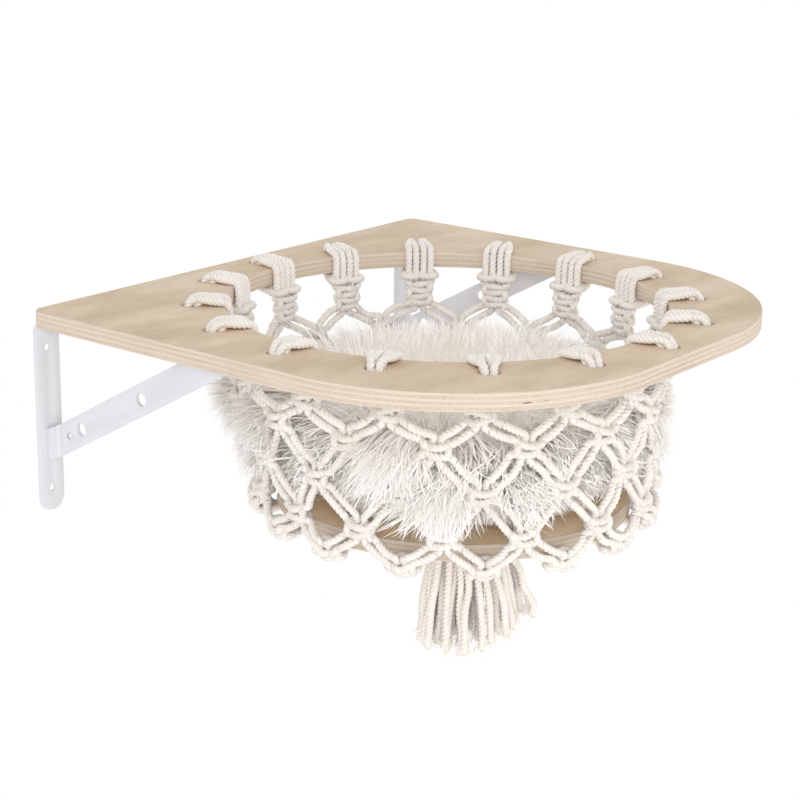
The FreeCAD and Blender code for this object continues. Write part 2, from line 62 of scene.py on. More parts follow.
STEP = 2 * math.pi / HANGERS

# Cord and net
CORD_RADIUS = 0.0030
TWIST_PITCH = 0.0104
RING_STEP = 0.0012
LOBE_POINTS = 4
LOBE_OFFSET = 0.27
SINNET_TOP = 0.0622
SINNET_TURNS = 4
SINNET_PITCH = 1.70
KNOT_PITCH = 2.10
HANG_RADIUS = 0.1641
GATHER_OFFSET = Vector((0.012, -0.016, 0.0))
# Height, radius, share of the gathering's offset, and slope of each row (inward over down)
NET_ROWS = (
    (0.0220, 0.1603, 0.10, 0.13),
    (-0.0135, 0.1538, 0.25, 0.13),
    (-0.0480, 0.1506, 0.40, 0.09),
    (-0.0700, 0.1487, 0.40, 1.00),
)
KNOT_TURN = math.radians(7)
KNOT_SHIFT = 0.0012
LEG_BOW = 0.0014
LEG_SWAY = 0.0009
LEG_BOW_SPREAD = 0.0004
# Course of a cord under the disc: share of the way, spread of its lane and drop, in cord radii
SPOKE_COURSE = ((0.10, 1.0, 0.0), (0.35, 0.8, 0.0), (0.65, 0.55, 0.3), (0.86, 0.5, 1.4), (0.97, 0.45, 5.5))
# Gathering knot: points to a turn, pitch in cord radii, taper to its ends, and the bundle inside it
WRAP_POINTS = 14
WRAP_PITCH = 2.02
WRAP_TAPER = 0.0016
BUNDLE_RINGS = 4
BUNDLE_PITCH = 0.0056

# Tassel
TASSEL_RINGS = (1, 5, 12, 19, 27)
TASSEL_PITCH = 0.0061
TASSEL_LENGTH = 0.085
TASSEL_SWING = math.radians(12)
TASSEL_SPREAD = 0.35
TASSEL_FAN = 0.015
TASSEL_DRIFT = 0.0015
TASSEL_STRAY = 0.0026
TASSEL_SWAY = 0.0010
# Course of a strand: share of its length, and share of its way outward
TASSEL_COURSE = ((0, 0), (0.12, 0.20), (0.35, 0.52), (0.6, 0.78), (0.82, 0.92), (1.0, 1.0))
FAN_LIFT = 0.26
FAN_WAY = np.array((0.6145, -0.7890, 0.0))
FRAY = 0.009
FRAY_FIBRES = 26
FRAY_REACH = 0.0065
FRAY_ROOT_SPREAD = 0.0011
FRAY_TIP_SPREAD = 0.0030
FIBRE_WIDTH = 0.00045

# Cushion: voxels of its cover, and the cover's swelling in the cloth simulation
VOXEL = 0.005
CLOTH_FRAMES = 20
COVER_PRESSURE = 4.0
COVER_CAP = 0.008

# Fur
HAIR_WIDTH = 0.00021
LOCK_WIDTH = (0.0007, 0.0016)
LOCK_FLATNESS = 0.28
TOP_SLIMNESS = 0.5
COVER_CLUMPS = 260
COVER_LOCKS = 7000
COVER_HAIRS = 7000
SIDE_RISE = (0.0010, 0.0032)
SIDE_SWEEP = (0.012, 0.024)
TOP_RISE = (0.008, 0.015)
TOP_SWEEP = (0.004, 0.010)
# Fur of the cushion's shoulder falls outward: where it starts, over what width, and its sweep
SHOULDER_RADIUS = 0.090
SHOULDER_WIDTH = 0.016
SHOULDER_SWEEP = (0.008, 0.020)
SHOULDER_OUTWARD = 1.1
SHOULDER_REACH = (0.134, 0.150)
TUFT_LOCKS = 160
TUFT_HAIRS = 160
TUFT_WISPS = 9
WISP_SPREAD = 0.0135
TUFT_ROOT_SPREAD = 0.0105
TUFT_REACH = (0.000, 0.005)
TUFT_DROOP = (0.002, 0.009)
TUFT_SHARE = 0.55
# Bold tufts: how far their tips fan out, and how far their outermost locks fall back
TUFT_PUFF = 1.25
TUFT_DOME = 0.6
TUFT_SLIMNESS = 0.2
TUFT_ROOT_DROP = (0.013, 0.002)
TUFT_ROWS = 2
TUFT_LENGTH = (0.55, 1.1)
TUFT_GATHER = (0.10, 0.60)
# Fan of the wisps and stray of the tips, along the net and in height
WISP_FAN = (1.5, 1.3)
TUFT_STRAY = (0.0060, 0.0030)
FACING_STRAY = 0.12
# Fur leaves the front of the disc bare: the lowest height rises outward from this radius
BARE_RADIUS = 0.121
BARE_SLOPE = 0.22
BARE_CLEARANCE = 0.002
# Tufts that stand out: from and to angle in degrees, rows of the net, reach, droop,
# sweep along the net and share of locks
BOLD_TUFTS = (
    (105, 168, (1,), 0.023, 0.004, 0.004, 2.2),
    (105, 168, (2,), 0.016, 0.008, 0.002, 1.8),
    (196, 208, (1,), 0.018, 0.013, -0.008, 4.0),
    (208, 220, (2,), 0.020, 0.014, -0.002, 4.6),
    (230, 240, (2,), 0.012, 0.008, 0.003, 2.0),
    (292, 322, (1, 2), 0.014, 0.006, 0.0, 1.6),
)

rng = np.random.default_rng(11)


# Mesh helpers

def unit(vectors):
    """The rows of an array, each at length one."""
    return vectors / np.linalg.norm(vectors, axis=1)[:, None]


def lengths_along(path):
    """Length from the start of a path to each of its points."""
    return np.concatenate([[0], np.cumsum(np.linalg.norm(np.diff(path, axis=0), axis=1))])


def outward(angle):
    return np.array((math.cos(angle), math.sin(angle), 0))


def onward(angle):
    return np.array((-math.sin(angle), math.cos(angle), 0))


def linked(name, data):
    """A new object in the scene."""
    piece = bpy.data.objects.new(name, data)
    bpy.context.scene.collection.objects.link(piece)
    return piece


def evaluated_mesh(piece):
    """A copy of the piece's mesh with its modifiers applied."""
    graph = bpy.context.evaluated_depsgraph_get()
    return bpy.data.meshes.new_from_object(piece.evaluated_get(graph))


def shade_smooth(mesh):
    mesh.polygons.foreach_set("use_smooth", [True] * len(mesh.polygons))


def mesh_object(name, vertices, faces, material):
    mesh = bpy.data.meshes.new(name)
    mesh.from_pydata(vertices, [], faces)
    mesh.materials.append(material)
    mesh.update()
    return linked(name, mesh)


def quad_mesh(name, vertices, quads, extra_faces, material, smooth=True):
    """Large mesh from arrays: quads as an (n, 4) array, and a few faces of other counts."""
    mesh = bpy.data.meshes.new(name)
    corners = np.concatenate([quads.ravel()] + [np.asarray(face) for face in extra_faces]).astype(np.int32)
    counts = np.array([4] * len(quads) + [len(face) for face in extra_faces], np.int32)
    starts = np.concatenate([[0], np.cumsum(counts)[:-1]]).astype(np.int32)
    mesh.vertices.add(len(vertices))
    mesh.vertices.foreach_set("co", np.asarray(vertices, np.float32).ravel())
    mesh.loops.add(len(corners))
    mesh.loops.foreach_set("vertex_index", corners)
    mesh.polygons.add(len(counts))
    mesh.polygons.foreach_set("loop_start", starts)
    mesh.polygons.foreach_set("use_smooth", np.full(len(counts), smooth))
    mesh.update(calc_edges=True)
    mesh.validate()
    mesh.materials.append(material)
    return linked(name, mesh)


# Cords: three-strand twisted rope swept along a smooth path

def smooth_path(points, step):
    """Curve through the points with no overshoot, resampled at even steps."""
    points = np.asarray(points, float)
    ends = (2 * points[:1] - points[1:2], points, 2 * points[-1:] - points[-2:-1])
    points = np.concatenate(ends)
    knots = np.concatenate([[0], np.cumsum(np.sqrt(np.linalg.norm(np.diff(points, axis=0), axis=1)))])
    dense = []
    share = np.linspace(0, 1, 14, endpoint=False)[:, None]
    for i in range(1, len(points) - 2):
        t0, t1, t2, t3 = knots[i - 1:i + 3]
        p0, p1, p2, p3 = points[i - 1:i + 3]
        t = t1 + (t2 - t1) * share
        a1 = (t1 - t) / (t1 - t0) * p0 + (t - t0) / (t1 - t0) * p1
        a2 = (t2 - t) / (t2 - t1) * p1 + (t - t1) / (t2 - t1) * p2
        a3 = (t3 - t) / (t3 - t2) * p2 + (t - t2) / (t3 - t2) * p3
        b1 = (t2 - t) / (t2 - t0) * a1 + (t - t0) / (t2 - t0) * a2
        b2 = (t3 - t) / (t3 - t1) * a2 + (t - t1) / (t3 - t1) * a3
        dense.append((t2 - t) / (t2 - t1) * b1 + (t - t1) / (t2 - t1) * b2)
    dense = np.concatenate(dense + [points[-2:-1]])
    along = lengths_along(dense)
    places = np.linspace(0, along[-1], max(2, int(round(along[-1] / step)) + 1))
    return np.stack([np.interp(places, along, dense[:, axis]) for axis in range(3)], axis=1)


def carried_frames(path):
    """Tangents, and normals carried along the path with no spin."""
    tangents = unit(np.gradient(path, axis=0))
    start = np.cross(tangents[0], (0.31, 0.87, 0.38))
    normals = [start / np.linalg.norm(start)]
    for before, after in zip(tangents, tangents[1:]):
        normal = normals[-1] - after * np.dot(normals[-1], after)
        normals.append(normal / np.linalg.norm(normal))
    return tangents, np.array(normals)


def lobed_ring():
    """Angle and radius of each point round a rope of three strands, in cord radii."""
    angles = np.arange(3 * LOBE_POINTS) * 2 * math.pi / (3 * LOBE_POINTS)
    third = 2 * math.pi / 3
    from_lobe = (angles + third / 2) % third - third / 2
    strand = 1 - LOBE_OFFSET
    radii = LOBE_OFFSET * np.cos(from_lobe) + np.sqrt(strand ** 2 - (LOBE_OFFSET * np.sin(from_lobe)) ** 2)
    return angles, radii


RING_ANGLES, RING_RADII = lobed_ring()


def rope_rings(path, phase, swell=None):
    """Ring points, as an array (rings, points, 3), of a twisted rope along the path."""
    tangents, normals = carried_frames(path)
    binormals = np.cross(tangents, normals)
    along = lengths_along(path)
    spin = phase + along * 2 * math.pi / TWIST_PITCH
    angles = spin[:, None] + RING_ANGLES[None, :]
    radii = CORD_RADIUS * RING_RADII[None, :] * (1 if swell is None else swell[:, None])
    across = np.cos(angles)[..., None] * normals[:, None, :]
    across = across + np.sin(angles)[..., None] * binormals[:, None, :]
    return path[:, None, :] + radii[..., None] * across, along


def rope_piece(name, ropes, material):
    """One piece from several ropes, each given as its rings and the length along it."""
    size = len(RING_ANGLES)
    vertices, quads, ends, yarn_maps, bake_maps = [], [], [], [], []
    start = 0
    rows = len(ropes)
    longest = max(along[-1] for rings, along in ropes)
    for row, (rings, along) in enumerate(ropes):
        count = len(rings)
        index = start + np.arange(count * size).reshape(count, size)
        following = np.roll(index, -1, axis=1)
        quad = np.stack([index[:-1], following[:-1], following[1:], index[1:]], axis=-1)
        vertices.append(rings.reshape(-1, 3))
        quads.append(quad.reshape(-1, 4))
        ends += [index[0, ::-1], index[-1]]
        around = np.arange(size)
        here = np.stack(np.broadcast_arrays(along[:-1, None], around[None, :] / size), axis=-1)
        corner_steps = ((0, 0), (0, 1), (1, 1), (1, 0))
        length_step = (along[1:] - along[:-1])[:, None]
        corners = []
        for ahead, turn in corner_steps:
            corner = (here[..., 0] + ahead * length_step, here[..., 1] + turn / size)
            corners.append(np.stack(corner, axis=-1))
        yarn = np.stack(corners, axis=2).reshape(-1, 2)
        yarn_maps.append(yarn)
        bake_maps.append(np.stack([yarn[:, 0] / longest, (row + 0.05 + 0.9 * yarn[:, 1]) / rows], axis=1))
        start += count * size
    piece = quad_mesh(name, np.concatenate(vertices), np.concatenate(quads), ends, material)
    end_count = sum(len(end) for end in ends)
    for map_name, maps in (("yarn", yarn_maps), ("OFBake", bake_maps)):
        values = np.concatenate(maps + [np.zeros((end_count, 2))])
        layer = piece.data.uv_layers.new(name=map_name)
        layer.uv.foreach_set("vector", values.astype(np.float32).ravel())
    return piece


# Knots

class KnotPlace:
    """Place of a knot: centre, and unit directions along the row, down the net and out of its front."""

    def __init__(self, centre, along, down, front):
        self.centre = np.array(centre)
        self.axes = np.array([along, down, front], float)

    def point(self, along, down, front):
        """A point given in cord radii from the knot's centre."""
        return self.centre + CORD_RADIUS * (np.array([along, down, front]) @ self.axes)


def working_cords(turns, pitch):
    """The two working cords of a run of square knots, in cord radii: the one in front and the one behind."""
    front, back = [], []
    for turn in range(turns):
        side = -1 if turn % 2 == 0 else 1
        level = (turn - (turns - 1) / 2) * pitch
        front += [(side * 2.2, level - 0.33, 1.0), (0, level, 1.95), (-side * 2.2, level + 0.28, 1.05)]
        if turn < turns - 1:
            front.append((-side * 2.85, level + pitch / 2, -0.3))
        back += [
            (-side * 2.8, level - 0.3, 1.45),
            (-side * 2.25, level + 0.75, -0.6),
            (0, level + 0.05, -1.9),
            (side * 2.15, level - 0.55, -0.8),
            (side * 2.85, level + 0.35, 1.25),
        ]
    reach = (turns - 1) / 2 * pitch + 0.75
    front = [(-3.6, -reach, 0.0)] + front + [(-3.6, reach, 0.0)]
    back = [(3.6, -reach, 0.2)] + back + [(3.6, reach, 0.2)]
    return front, back


def filler_cord(turns, pitch):
    reach = (turns - 1) / 2 * pitch
    return [(-0.95, -reach - 2.0, 0), (-0.95, -reach, 0), (-0.95, reach, 0), (-0.95, reach + 2.0, 0)]


def knot_route(place, side, working, turns, pitch, flip):
    """Points of one cord through a knot. side is -1 or 1, and flip says which side's cord lies in front."""
    if working:
        front, back = working_cords(turns, pitch)
        local = front if side == -flip else back
        turned = flip
    else:
        local = filler_cord(turns, pitch)
        turned = -side
    return [place.point(turned * along, down, out) for along, down, out in local]


def net_places():
    """Knot places of each row, with a little of a hand's unevenness."""
    rows = []
    for number, (z, radius, lean, slope) in enumerate(NET_ROWS, start=1):
        centre = OPENING_CENTRE + GATHER_OFFSET * lean
        row = []
        for index in range(HANGERS):
            angle = (index + number % 2 / 2) * STEP
            out, along = Vector(outward(angle)), Vector(onward(angle))
            down = (Vector((0, 0, -1)) - out * slope).normalized()
            front = along.cross(down) * -1
            if front.dot(out) < 0:
                front = front * -1
            turn = Matrix.Rotation(rng.uniform(-KNOT_TURN, KNOT_TURN), 3, front)
            along, down = turn @ along, turn @ down
            shift = along * rng.normal(0, KNOT_SHIFT) + down * rng.normal(0, KNOT_SHIFT)
            place = centre + out * radius + Vector((0, 0, z)) + shift
            row.append((KnotPlace(place, along, down, front), rng.choice((-1, 1))))
        rows.append(row)
    return rows


def sinnet_place(index):
    angle = index * STEP
    out, along = Vector(outward(angle)), Vector(onward(angle))
    height = (SINNET_TURNS - 1) / 2 * SINNET_PITCH + 1
    centre = OPENING_CENTRE + out * HANG_RADIUS + Vector((0, 0, SINNET_TOP - height * CORD_RADIUS))
    return KnotPlace(centre, along, Vector((0, 0, -1)), -out)


# Doubled cord over the rim: (radius from the opening's centre, along the rim, height), outer tail first
OVER_RIM = (
    (0.1638, 0.0092, 0.0640),
    (0.1634, 0.0091, 0.0720),
    (0.1637, 0.0090, 0.0830),
    (0.1655, 0.0089, 0.0872),
    (0.1720, 0.0086, 0.0882),
    (0.1790, 0.0074, 0.0889),
    (0.1850, 0.0056, 0.0899),
    (0.1905, 0.0034, 0.0884),
    (0.1938, 0.0028, 0.0836),
    (0.1942, 0.0028, 0.0760),
    (0.1914, 0.0036, 0.0688),
    (0.1820, 0.0080, 0.0674),
    (0.1700, 0.0122, 0.0668),
    (0.1622, 0.0134, 0.0662),
    (0.1590, 0.0110, 0.0660),
    (0.1582, 0.0070, 0.0660),
    (0.1588, 0.0036, 0.0661),
    (0.1606, 0.0014, 0.0664),
    (0.1670, 0.0012, 0.0672),
    (0.1780, 0.0016, 0.0680),
    (0.1850, 0.0024, 0.0690),
    (0.1876, 0.0029, 0.0760),
    (0.1874, 0.0030, 0.0836),
    (0.1842, 0.0031, 0.0880),
    (0.1780, 0.0031, 0.0888),
    (0.1712, 0.0031, 0.0885),
    (0.1655, 0.0031, 0.0872),
    (0.1637, 0.0031, 0.0830),
    (0.1634, 0.0031, 0.0720),
    (0.1638, 0.0032, 0.0640),
)


def over_rim(index, side):
    angle = index * STEP
    out, along = outward(angle), onward(angle)
    centre = np.array(OPENING_CENTRE)
    return [centre + out * radius + along * (side * across) + (0, 0, z) for radius, across, z in OVER_RIM]


def leg(start, end, front):
    """Two points on the way from one knot to the next, bowed outward a little."""
    across = np.cross(end - start, front)
    sway = across / np.linalg.norm(across) * rng.normal(0, LEG_SWAY)
    bow = front * (LEG_BOW + rng.normal(0, LEG_BOW_SPREAD)) + sway
    return [start + (end - start) * 0.33 + bow, start + (end - start) * 0.67 + bow]


def strand_routes(index, side, outer, rows, sinnet, flip):
    """Points of one strand from its sinnet down to the base row, one list for each row below the sinnet."""
    working = outer
    routes = [knot_route(sinnet, side, working, SINNET_TURNS, SINNET_PITCH, flip)]
    at_side = side
    for number, row in enumerate(rows, start=1):
        slot = (index + (0 if side > 0 else -1)) % HANGERS if number % 2 else index
        at_side = -at_side
        working = not working
        place, row_flip = row[slot]
        through = knot_route(place, at_side, working, 2, KNOT_PITCH, row_flip)
        front = place.axes[2]
        routes.append(leg(routes[-1][-1], through[0], front) + through)
    return routes


def spoke_route(start, lane, target):
    """Under the disc from the base row's knot to the gathering knot."""
    level = DISC_LOW.z - CORD_RADIUS * 1.15
    heading = np.array((target[0] - start[0], target[1] - start[1], 0))
    reach = np.linalg.norm(heading)
    heading /= reach
    across = np.array((-heading[1], heading[0], 0))
    points = []
    for share, spread, drop in SPOKE_COURSE:
        sag = drop * CORD_RADIUS
        at = np.array((start[0], start[1], 0)) + heading * reach * share
        points.append(at + across * (lane * spread * 2 * CORD_RADIUS) + (0, 0, level - sag))
    return points


def split_rope(points_by_piece, phase):
    """Sweep one continuous rope and cut it where the pieces meet."""
    controls = [point for points in points_by_piece for point in points]
    path = smooth_path(controls, RING_STEP)
    rings, along = rope_rings(path, phase)
    cuts = [0]
    count = 0
    for points in points_by_piece[:-1]:
        count += len(points)
        middle = (controls[count - 1] + controls[count]) / 2
        near = np.linalg.norm(path - middle, axis=1)
        near[:cuts[-1] + 2] = np.inf
        cuts.append(int(near.argmin()))
    cuts.append(len(path) - 1)
    return [(rings[a:b + 1], along[a:b + 1] - along[a]) for a, b in zip(cuts, cuts[1:])]


def net_ropes():
    """All the cords, gathered by the CAD node that they stand for."""
    rows = net_places()
    ropes = {"hanger_%02d" % (i + 1): [] for i in range(HANGERS)}
    for number in range(1, len(NET_ROWS) + 1):
        ropes["net_row_%d" % number] = []
    ropes["base_spokes"] = []
    target = np.array(OPENING_CENTRE + GATHER_OFFSET)
    for index in range(HANGERS):
        sinnet = sinnet_place(index)
        flip = rng.choice((-1, 1))
        for side in (-1, 1):
            outer = strand_routes(index, side, True, rows, sinnet, flip)
            inner = strand_routes(index, side, False, rows, sinnet, flip)
            middle = over_rim(index, side)
            outer.append(spoke_route(outer[-1][-1], side * 1.5, target))
            inner.append(spoke_route(inner[-1][-1], side * 0.5, target))
            whole = [list(reversed(points)) for points in reversed(outer[1:])]
            whole.append(list(reversed(outer[0])) + middle + inner[0])
            whole += inner[1:]
            parts = split_rope(whole, rng.uniform(0, 2 * math.pi))
            last = len(NET_ROWS)
            for number in range(1, last + 1):
                ropes["net_row_%d" % number] += [parts[last + 1 - number], parts[last + 1 + number]]
            ropes["base_spokes"] += [parts[0], parts[-1]]
            ropes["hanger_%02d" % (index + 1)].append(parts[last + 1])
    return ropes


def tassel_ropes():
    """Cord ends that spring out of the gathering knot and fall, fanned towards the picture's right.

    Returns the ropes, and the end and heading of each for its fray.
    """
    ropes, ends = [], []
    middle = np.array(OPENING_CENTRE + GATHER_OFFSET)
    last = len(TASSEL_RINGS) - 1
    for ring, count in enumerate(TASSEL_RINGS):
        start_radius = ring * TASSEL_PITCH
        for index in range(count):
            angle = (index + ring / 2) * 2 * math.pi / count
            out = outward(angle)
            top = TASSEL_TOP - 0.0005 - start_radius * math.tan(TASSEL_SWING)
            start = middle + out * start_radius + (0, 0, top)
            turn = np.dot(out, FAN_WAY) * ring / last
            way = out * (start_radius * TASSEL_SPREAD)
            way = way + FAN_WAY * (TASSEL_FAN * max(-0.2, turn) + TASSEL_DRIFT)
            way = way + rng.normal(0, TASSEL_STRAY, 3) * (1, 1, 0)
            length = TASSEL_LENGTH * rng.uniform(0.97, 1.03) * (1 - FAN_LIFT * max(0, turn))
            points = []
            for share, bend in TASSEL_COURSE:
                sway = rng.normal(0, TASSEL_SWAY, 3) if 0 < share < 1 else 0
                points.append(start + way * bend - np.array((0, 0, length * share)) + sway)
            path = smooth_path(points, RING_STEP)
            along = lengths_along(path)
            loose = np.clip((along - along[-1] + FRAY) / FRAY, 0, 1)
            ropes.append(rope_rings(path, rng.uniform(0, 2 * math.pi), 1.0 + 0.15 * loose - 0.5 * loose ** 4))
            heading = path[-1] - path[-5]
            ends.append((path[-1], heading / np.linalg.norm(heading)))
    return ropes, ends


def fray_fibres(ends):
    """Stations along the loose fibres at the cord ends."""
    count = FRAY_FIBRES * len(ends)
    tips = np.repeat(np.array([end for end, heading in ends]), FRAY_FIBRES, axis=0)
    headings = np.repeat(np.array([heading for end, heading in ends]), FRAY_FIBRES, axis=0)
    lateral = rng.normal(0, 1, (count, 3))
    lateral -= headings * (lateral * headings).sum(1)[:, None]
    root = tips - headings * FRAY * rng.uniform(0.6, 1.0, (count, 1)) + lateral * FRAY_ROOT_SPREAD
    far = tips + headings * rng.uniform(0.0, FRAY_REACH, (count, 1)) + lateral * FRAY_TIP_SPREAD
    bow = (root + far) / 2 + lateral * 0.0008
    return bent_stations(root, bow, far), rng.normal(0, 1, (count, 3))


def gathering_ropes():
    """A wrapping cord round the bundle of cords, and the bundle's own cords inside it."""
    middle = np.array(OPENING_CENTRE + GATHER_OFFSET)
    top, bottom = GATHER_HIGH.z - CORD_RADIUS * 1.3, GATHER_LOW.z + CORD_RADIUS
    radius = (GATHER_HIGH.x - GATHER_LOW.x) / 2 - CORD_RADIUS
    turns = (top - bottom) / (WRAP_PITCH * CORD_RADIUS)
    points = []
    for step in range(int(turns * WRAP_POINTS) + 1):
        angle = step / WRAP_POINTS * 2 * math.pi
        share = step / WRAP_POINTS / turns
        swell = radius - WRAP_TAPER * abs(share - 0.5) * 2
        points.append(middle + swell * outward(angle) + (0, 0, top - share * (top - bottom)))
    ropes = [rope_rings(smooth_path(points, RING_STEP), 0.0)]
    for ring, count in enumerate(TASSEL_RINGS[:BUNDLE_RINGS]):
        for index in range(count):
            angle = (index + ring / 2) * 2 * math.pi / count
            place = middle + ring * BUNDLE_PITCH * outward(angle)
            path = [place + (0, 0, GATHER_HIGH.z - 0.003), place + (0, 0, GATHER_LOW.z + 0.001)]
            ropes.append(rope_rings(smooth_path(path, RING_STEP), rng.uniform(0, 2 * math.pi)))
    return ropes


# Materials

class Shader:
    """A material's node tree, with short ways to add and join nodes."""

    def __init__(self, name):
        self.material = bpy.data.materials.new(name)
        self.material.use_nodes = True
        self.tree = self.material.node_tree
        self.surface = self.tree.nodes["Principled BSDF"]

    def node(self, kind, settings=None, **inputs):
        made = self.tree.nodes.new("ShaderNode" + kind)
        for key, value in (settings or {}).items():
            setattr(made, key, value)
        for key, value in inputs.items():
            self.feed(made, key.replace("_", " "), value)
        return made

    def feed(self, node, socket, value):
        target = node.inputs[socket]
        if isinstance(value, bpy.types.NodeSocket):
            self.tree.links.new(value, target)
        else:
            target.default_value = value

    def set(self, **inputs):
        for key, value in inputs.items():
            self.feed(self.surface, key.replace("_", " "), value)

    def place(self, scale):
        """Object coordinates, stretched by a scale for each axis."""
        coordinates = self.node("TexCoord").outputs["Object"]
        return self.node("Mapping", Vector=coordinates, Scale=scale).outputs["Vector"]

    def noise(self, vector, scale, detail=3.0, roughness=0.5):
        made = self.node("TexNoise", Vector=vector, Scale=scale, Detail=detail, Roughness=roughness)
        return made.outputs["Fac"]

    def ramp(self, factor, stops):
        made = self.node("ValToRGB", Fac=factor)
        elements = made.color_ramp.elements
        while len(elements) < len(stops):
            elements.new(0.5)
        for element, (position, colour) in zip(elements, stops):
            element.position = position
            element.color = (*colour, 1)
        return made.outputs["Color"]

    def mix(self, factor, first, second, blend="MIX"):
        made = self.node("Mix", {"data_type": "RGBA", "blend_type": blend})
        for index, value in ((0, factor), (6, first), (7, second)):
            if isinstance(value, bpy.types.NodeSocket):
                self.tree.links.new(value, made.inputs[index])
            else:
                made.inputs[index].default_value = value if index == 0 else (*value, 1)
        return made.outputs[2]

    def math(self, operation, first, second=0.0):
        made = self.node("Math", {"operation": operation})
        for index, value in enumerate((first, second)):
            if isinstance(value, bpy.types.NodeSocket):
                self.tree.links.new(value, made.inputs[index])
            else:
                made.inputs[index].default_value = value
        return made.outputs[0]

    def bump(self, height, strength, distance):
        normal = self.node("Bump", Height=height, Strength=strength, Distance=distance).outputs["Normal"]
        self.set(Normal=normal)


def birch_face(name, pale, middle, bright, grain_colour):
    """Rotary-cut birch veneer: pale, with cloudy figure and fine grain along X."""
    shader = Shader(name)
    cloud = shader.noise(shader.place((5, 14, 14)), 1.6, 4.0, 0.55)
    grain = shader.noise(shader.place((12, 420, 420)), 1.0, 4.0, 0.6)
    blotch = shader.noise(shader.place((16, 34, 34)), 1.0, 5.0, 0.62)
    figure = shader.math("ADD", shader.math("MULTIPLY", cloud, 0.45), shader.math("MULTIPLY", blotch, 0.55))
    tone = shader.ramp(figure, ((0.38, pale), (0.50, middle), (0.62, bright)))
    colour = shader.mix(shader.math("MULTIPLY", grain, 0.16), tone, grain_colour)
    rough = shader.ramp(grain, ((0.3, (0.48, 0.48, 0.48)), (0.7, (0.60, 0.60, 0.60))))
    shader.set(Base_Color=colour, Roughness=rough, Specular_IOR_Level=0.3)
    shader.bump(grain, 0.12, 0.0004)
    return shader.material


def birch_edge(low, high, plies):
    """Sanded plywood edge: plies by height, alternately long grain and end grain, with faint glue lines."""
    shader = Shader("birch_edge")
    split = shader.node("SeparateXYZ", Vector=shader.node("TexCoord").outputs["Object"])
    level = shader.math("DIVIDE", shader.math("SUBTRACT", split.outputs["Z"], low), high - low)
    wander = shader.math("MULTIPLY", shader.noise(shader.place((9, 9, 60)), 1.0, 2.0), 0.7)
    layer = shader.math("ADD", shader.math("MULTIPLY", level, float(plies)), wander)
    odd = shader.math("PINGPONG", layer, 1.0)
    long_grain = shader.noise(shader.place((22, 22, 900)), 1.0, 4.0)
    pores = shader.noise(shader.place((420, 420, 260)), 1.0, 3.0)
    patches = shader.noise(shader.place((16, 16, 60)), 1.0, 2.0)
    light = shader.ramp(long_grain, ((0.3, (0.62, 0.515, 0.42)), (0.7, (0.71, 0.61, 0.515))))
    dark = shader.ramp(pores, ((0.3, (0.45, 0.33, 0.22)), (0.7, (0.61, 0.485, 0.365))))
    alternate = shader.ramp(
        shader.math("FRACT", shader.math("MULTIPLY", layer, 0.5)),
        ((0.40, (0, 0, 0)), (0.54, (1, 1, 1)), (0.90, (1, 1, 1)), (1.0, (0, 0, 0))),
    )
    colour = shader.mix(shader.math("MULTIPLY", alternate, patches), light, dark)
    glue = shader.ramp(odd, ((0.0, (0.62, 0.54, 0.46)), (0.12, (1, 1, 1))))
    colour = shader.mix(0.6, colour, glue, "MULTIPLY")
    gaps = shader.noise(shader.place((38, 38, 240)), 1.0, 1.0)
    void = shader.ramp(gaps, ((0.775, (0, 0, 0)), (0.79, (1, 1, 1))))
    colour = shader.mix(shader.math("MULTIPLY", void, alternate), colour, (0.20, 0.12, 0.07))
    shader.set(Base_Color=colour, Roughness=0.6, Specular_IOR_Level=0.3)
    shader.bump(pores, 0.2, 0.0003)
    return shader.material


def powder_coat():
    """White powder coat with a faint orange-peel skin."""
    shader = Shader("white_powder_coat")
    peel = shader.noise(shader.place((1, 1, 1)), 900.0, 2.0)
    cloud = shader.noise(shader.place((1, 1, 1)), 14.0, 3.0)
    colour = shader.ramp(cloud, ((0.3, (0.66, 0.665, 0.70)), (0.7, (0.70, 0.705, 0.735))))
    rough = shader.ramp(peel, ((0.3, (0.36, 0.36, 0.36)), (0.7, (0.46, 0.46, 0.46))))
    shader.set(Base_Color=colour, Roughness=rough, Specular_IOR_Level=0.4)
    shader.bump(peel, 0.10, 0.0003)
    return shader.material


def zinc():
    shader = Shader("zinc_screw")
    cloud = shader.noise(shader.place((1, 1, 1)), 260.0, 3.0)
    colour = shader.ramp(cloud, ((0.3, (0.50, 0.50, 0.49)), (0.7, (0.66, 0.66, 0.63))))
    rough = shader.ramp(cloud, ((0.3, (0.28, 0.28, 0.28)), (0.7, (0.42, 0.42, 0.42))))
    shader.set(Base_Color=colour, Roughness=rough, Metallic=1.0)
    shader.bump(cloud, 0.05, 0.0002)
    return shader.material


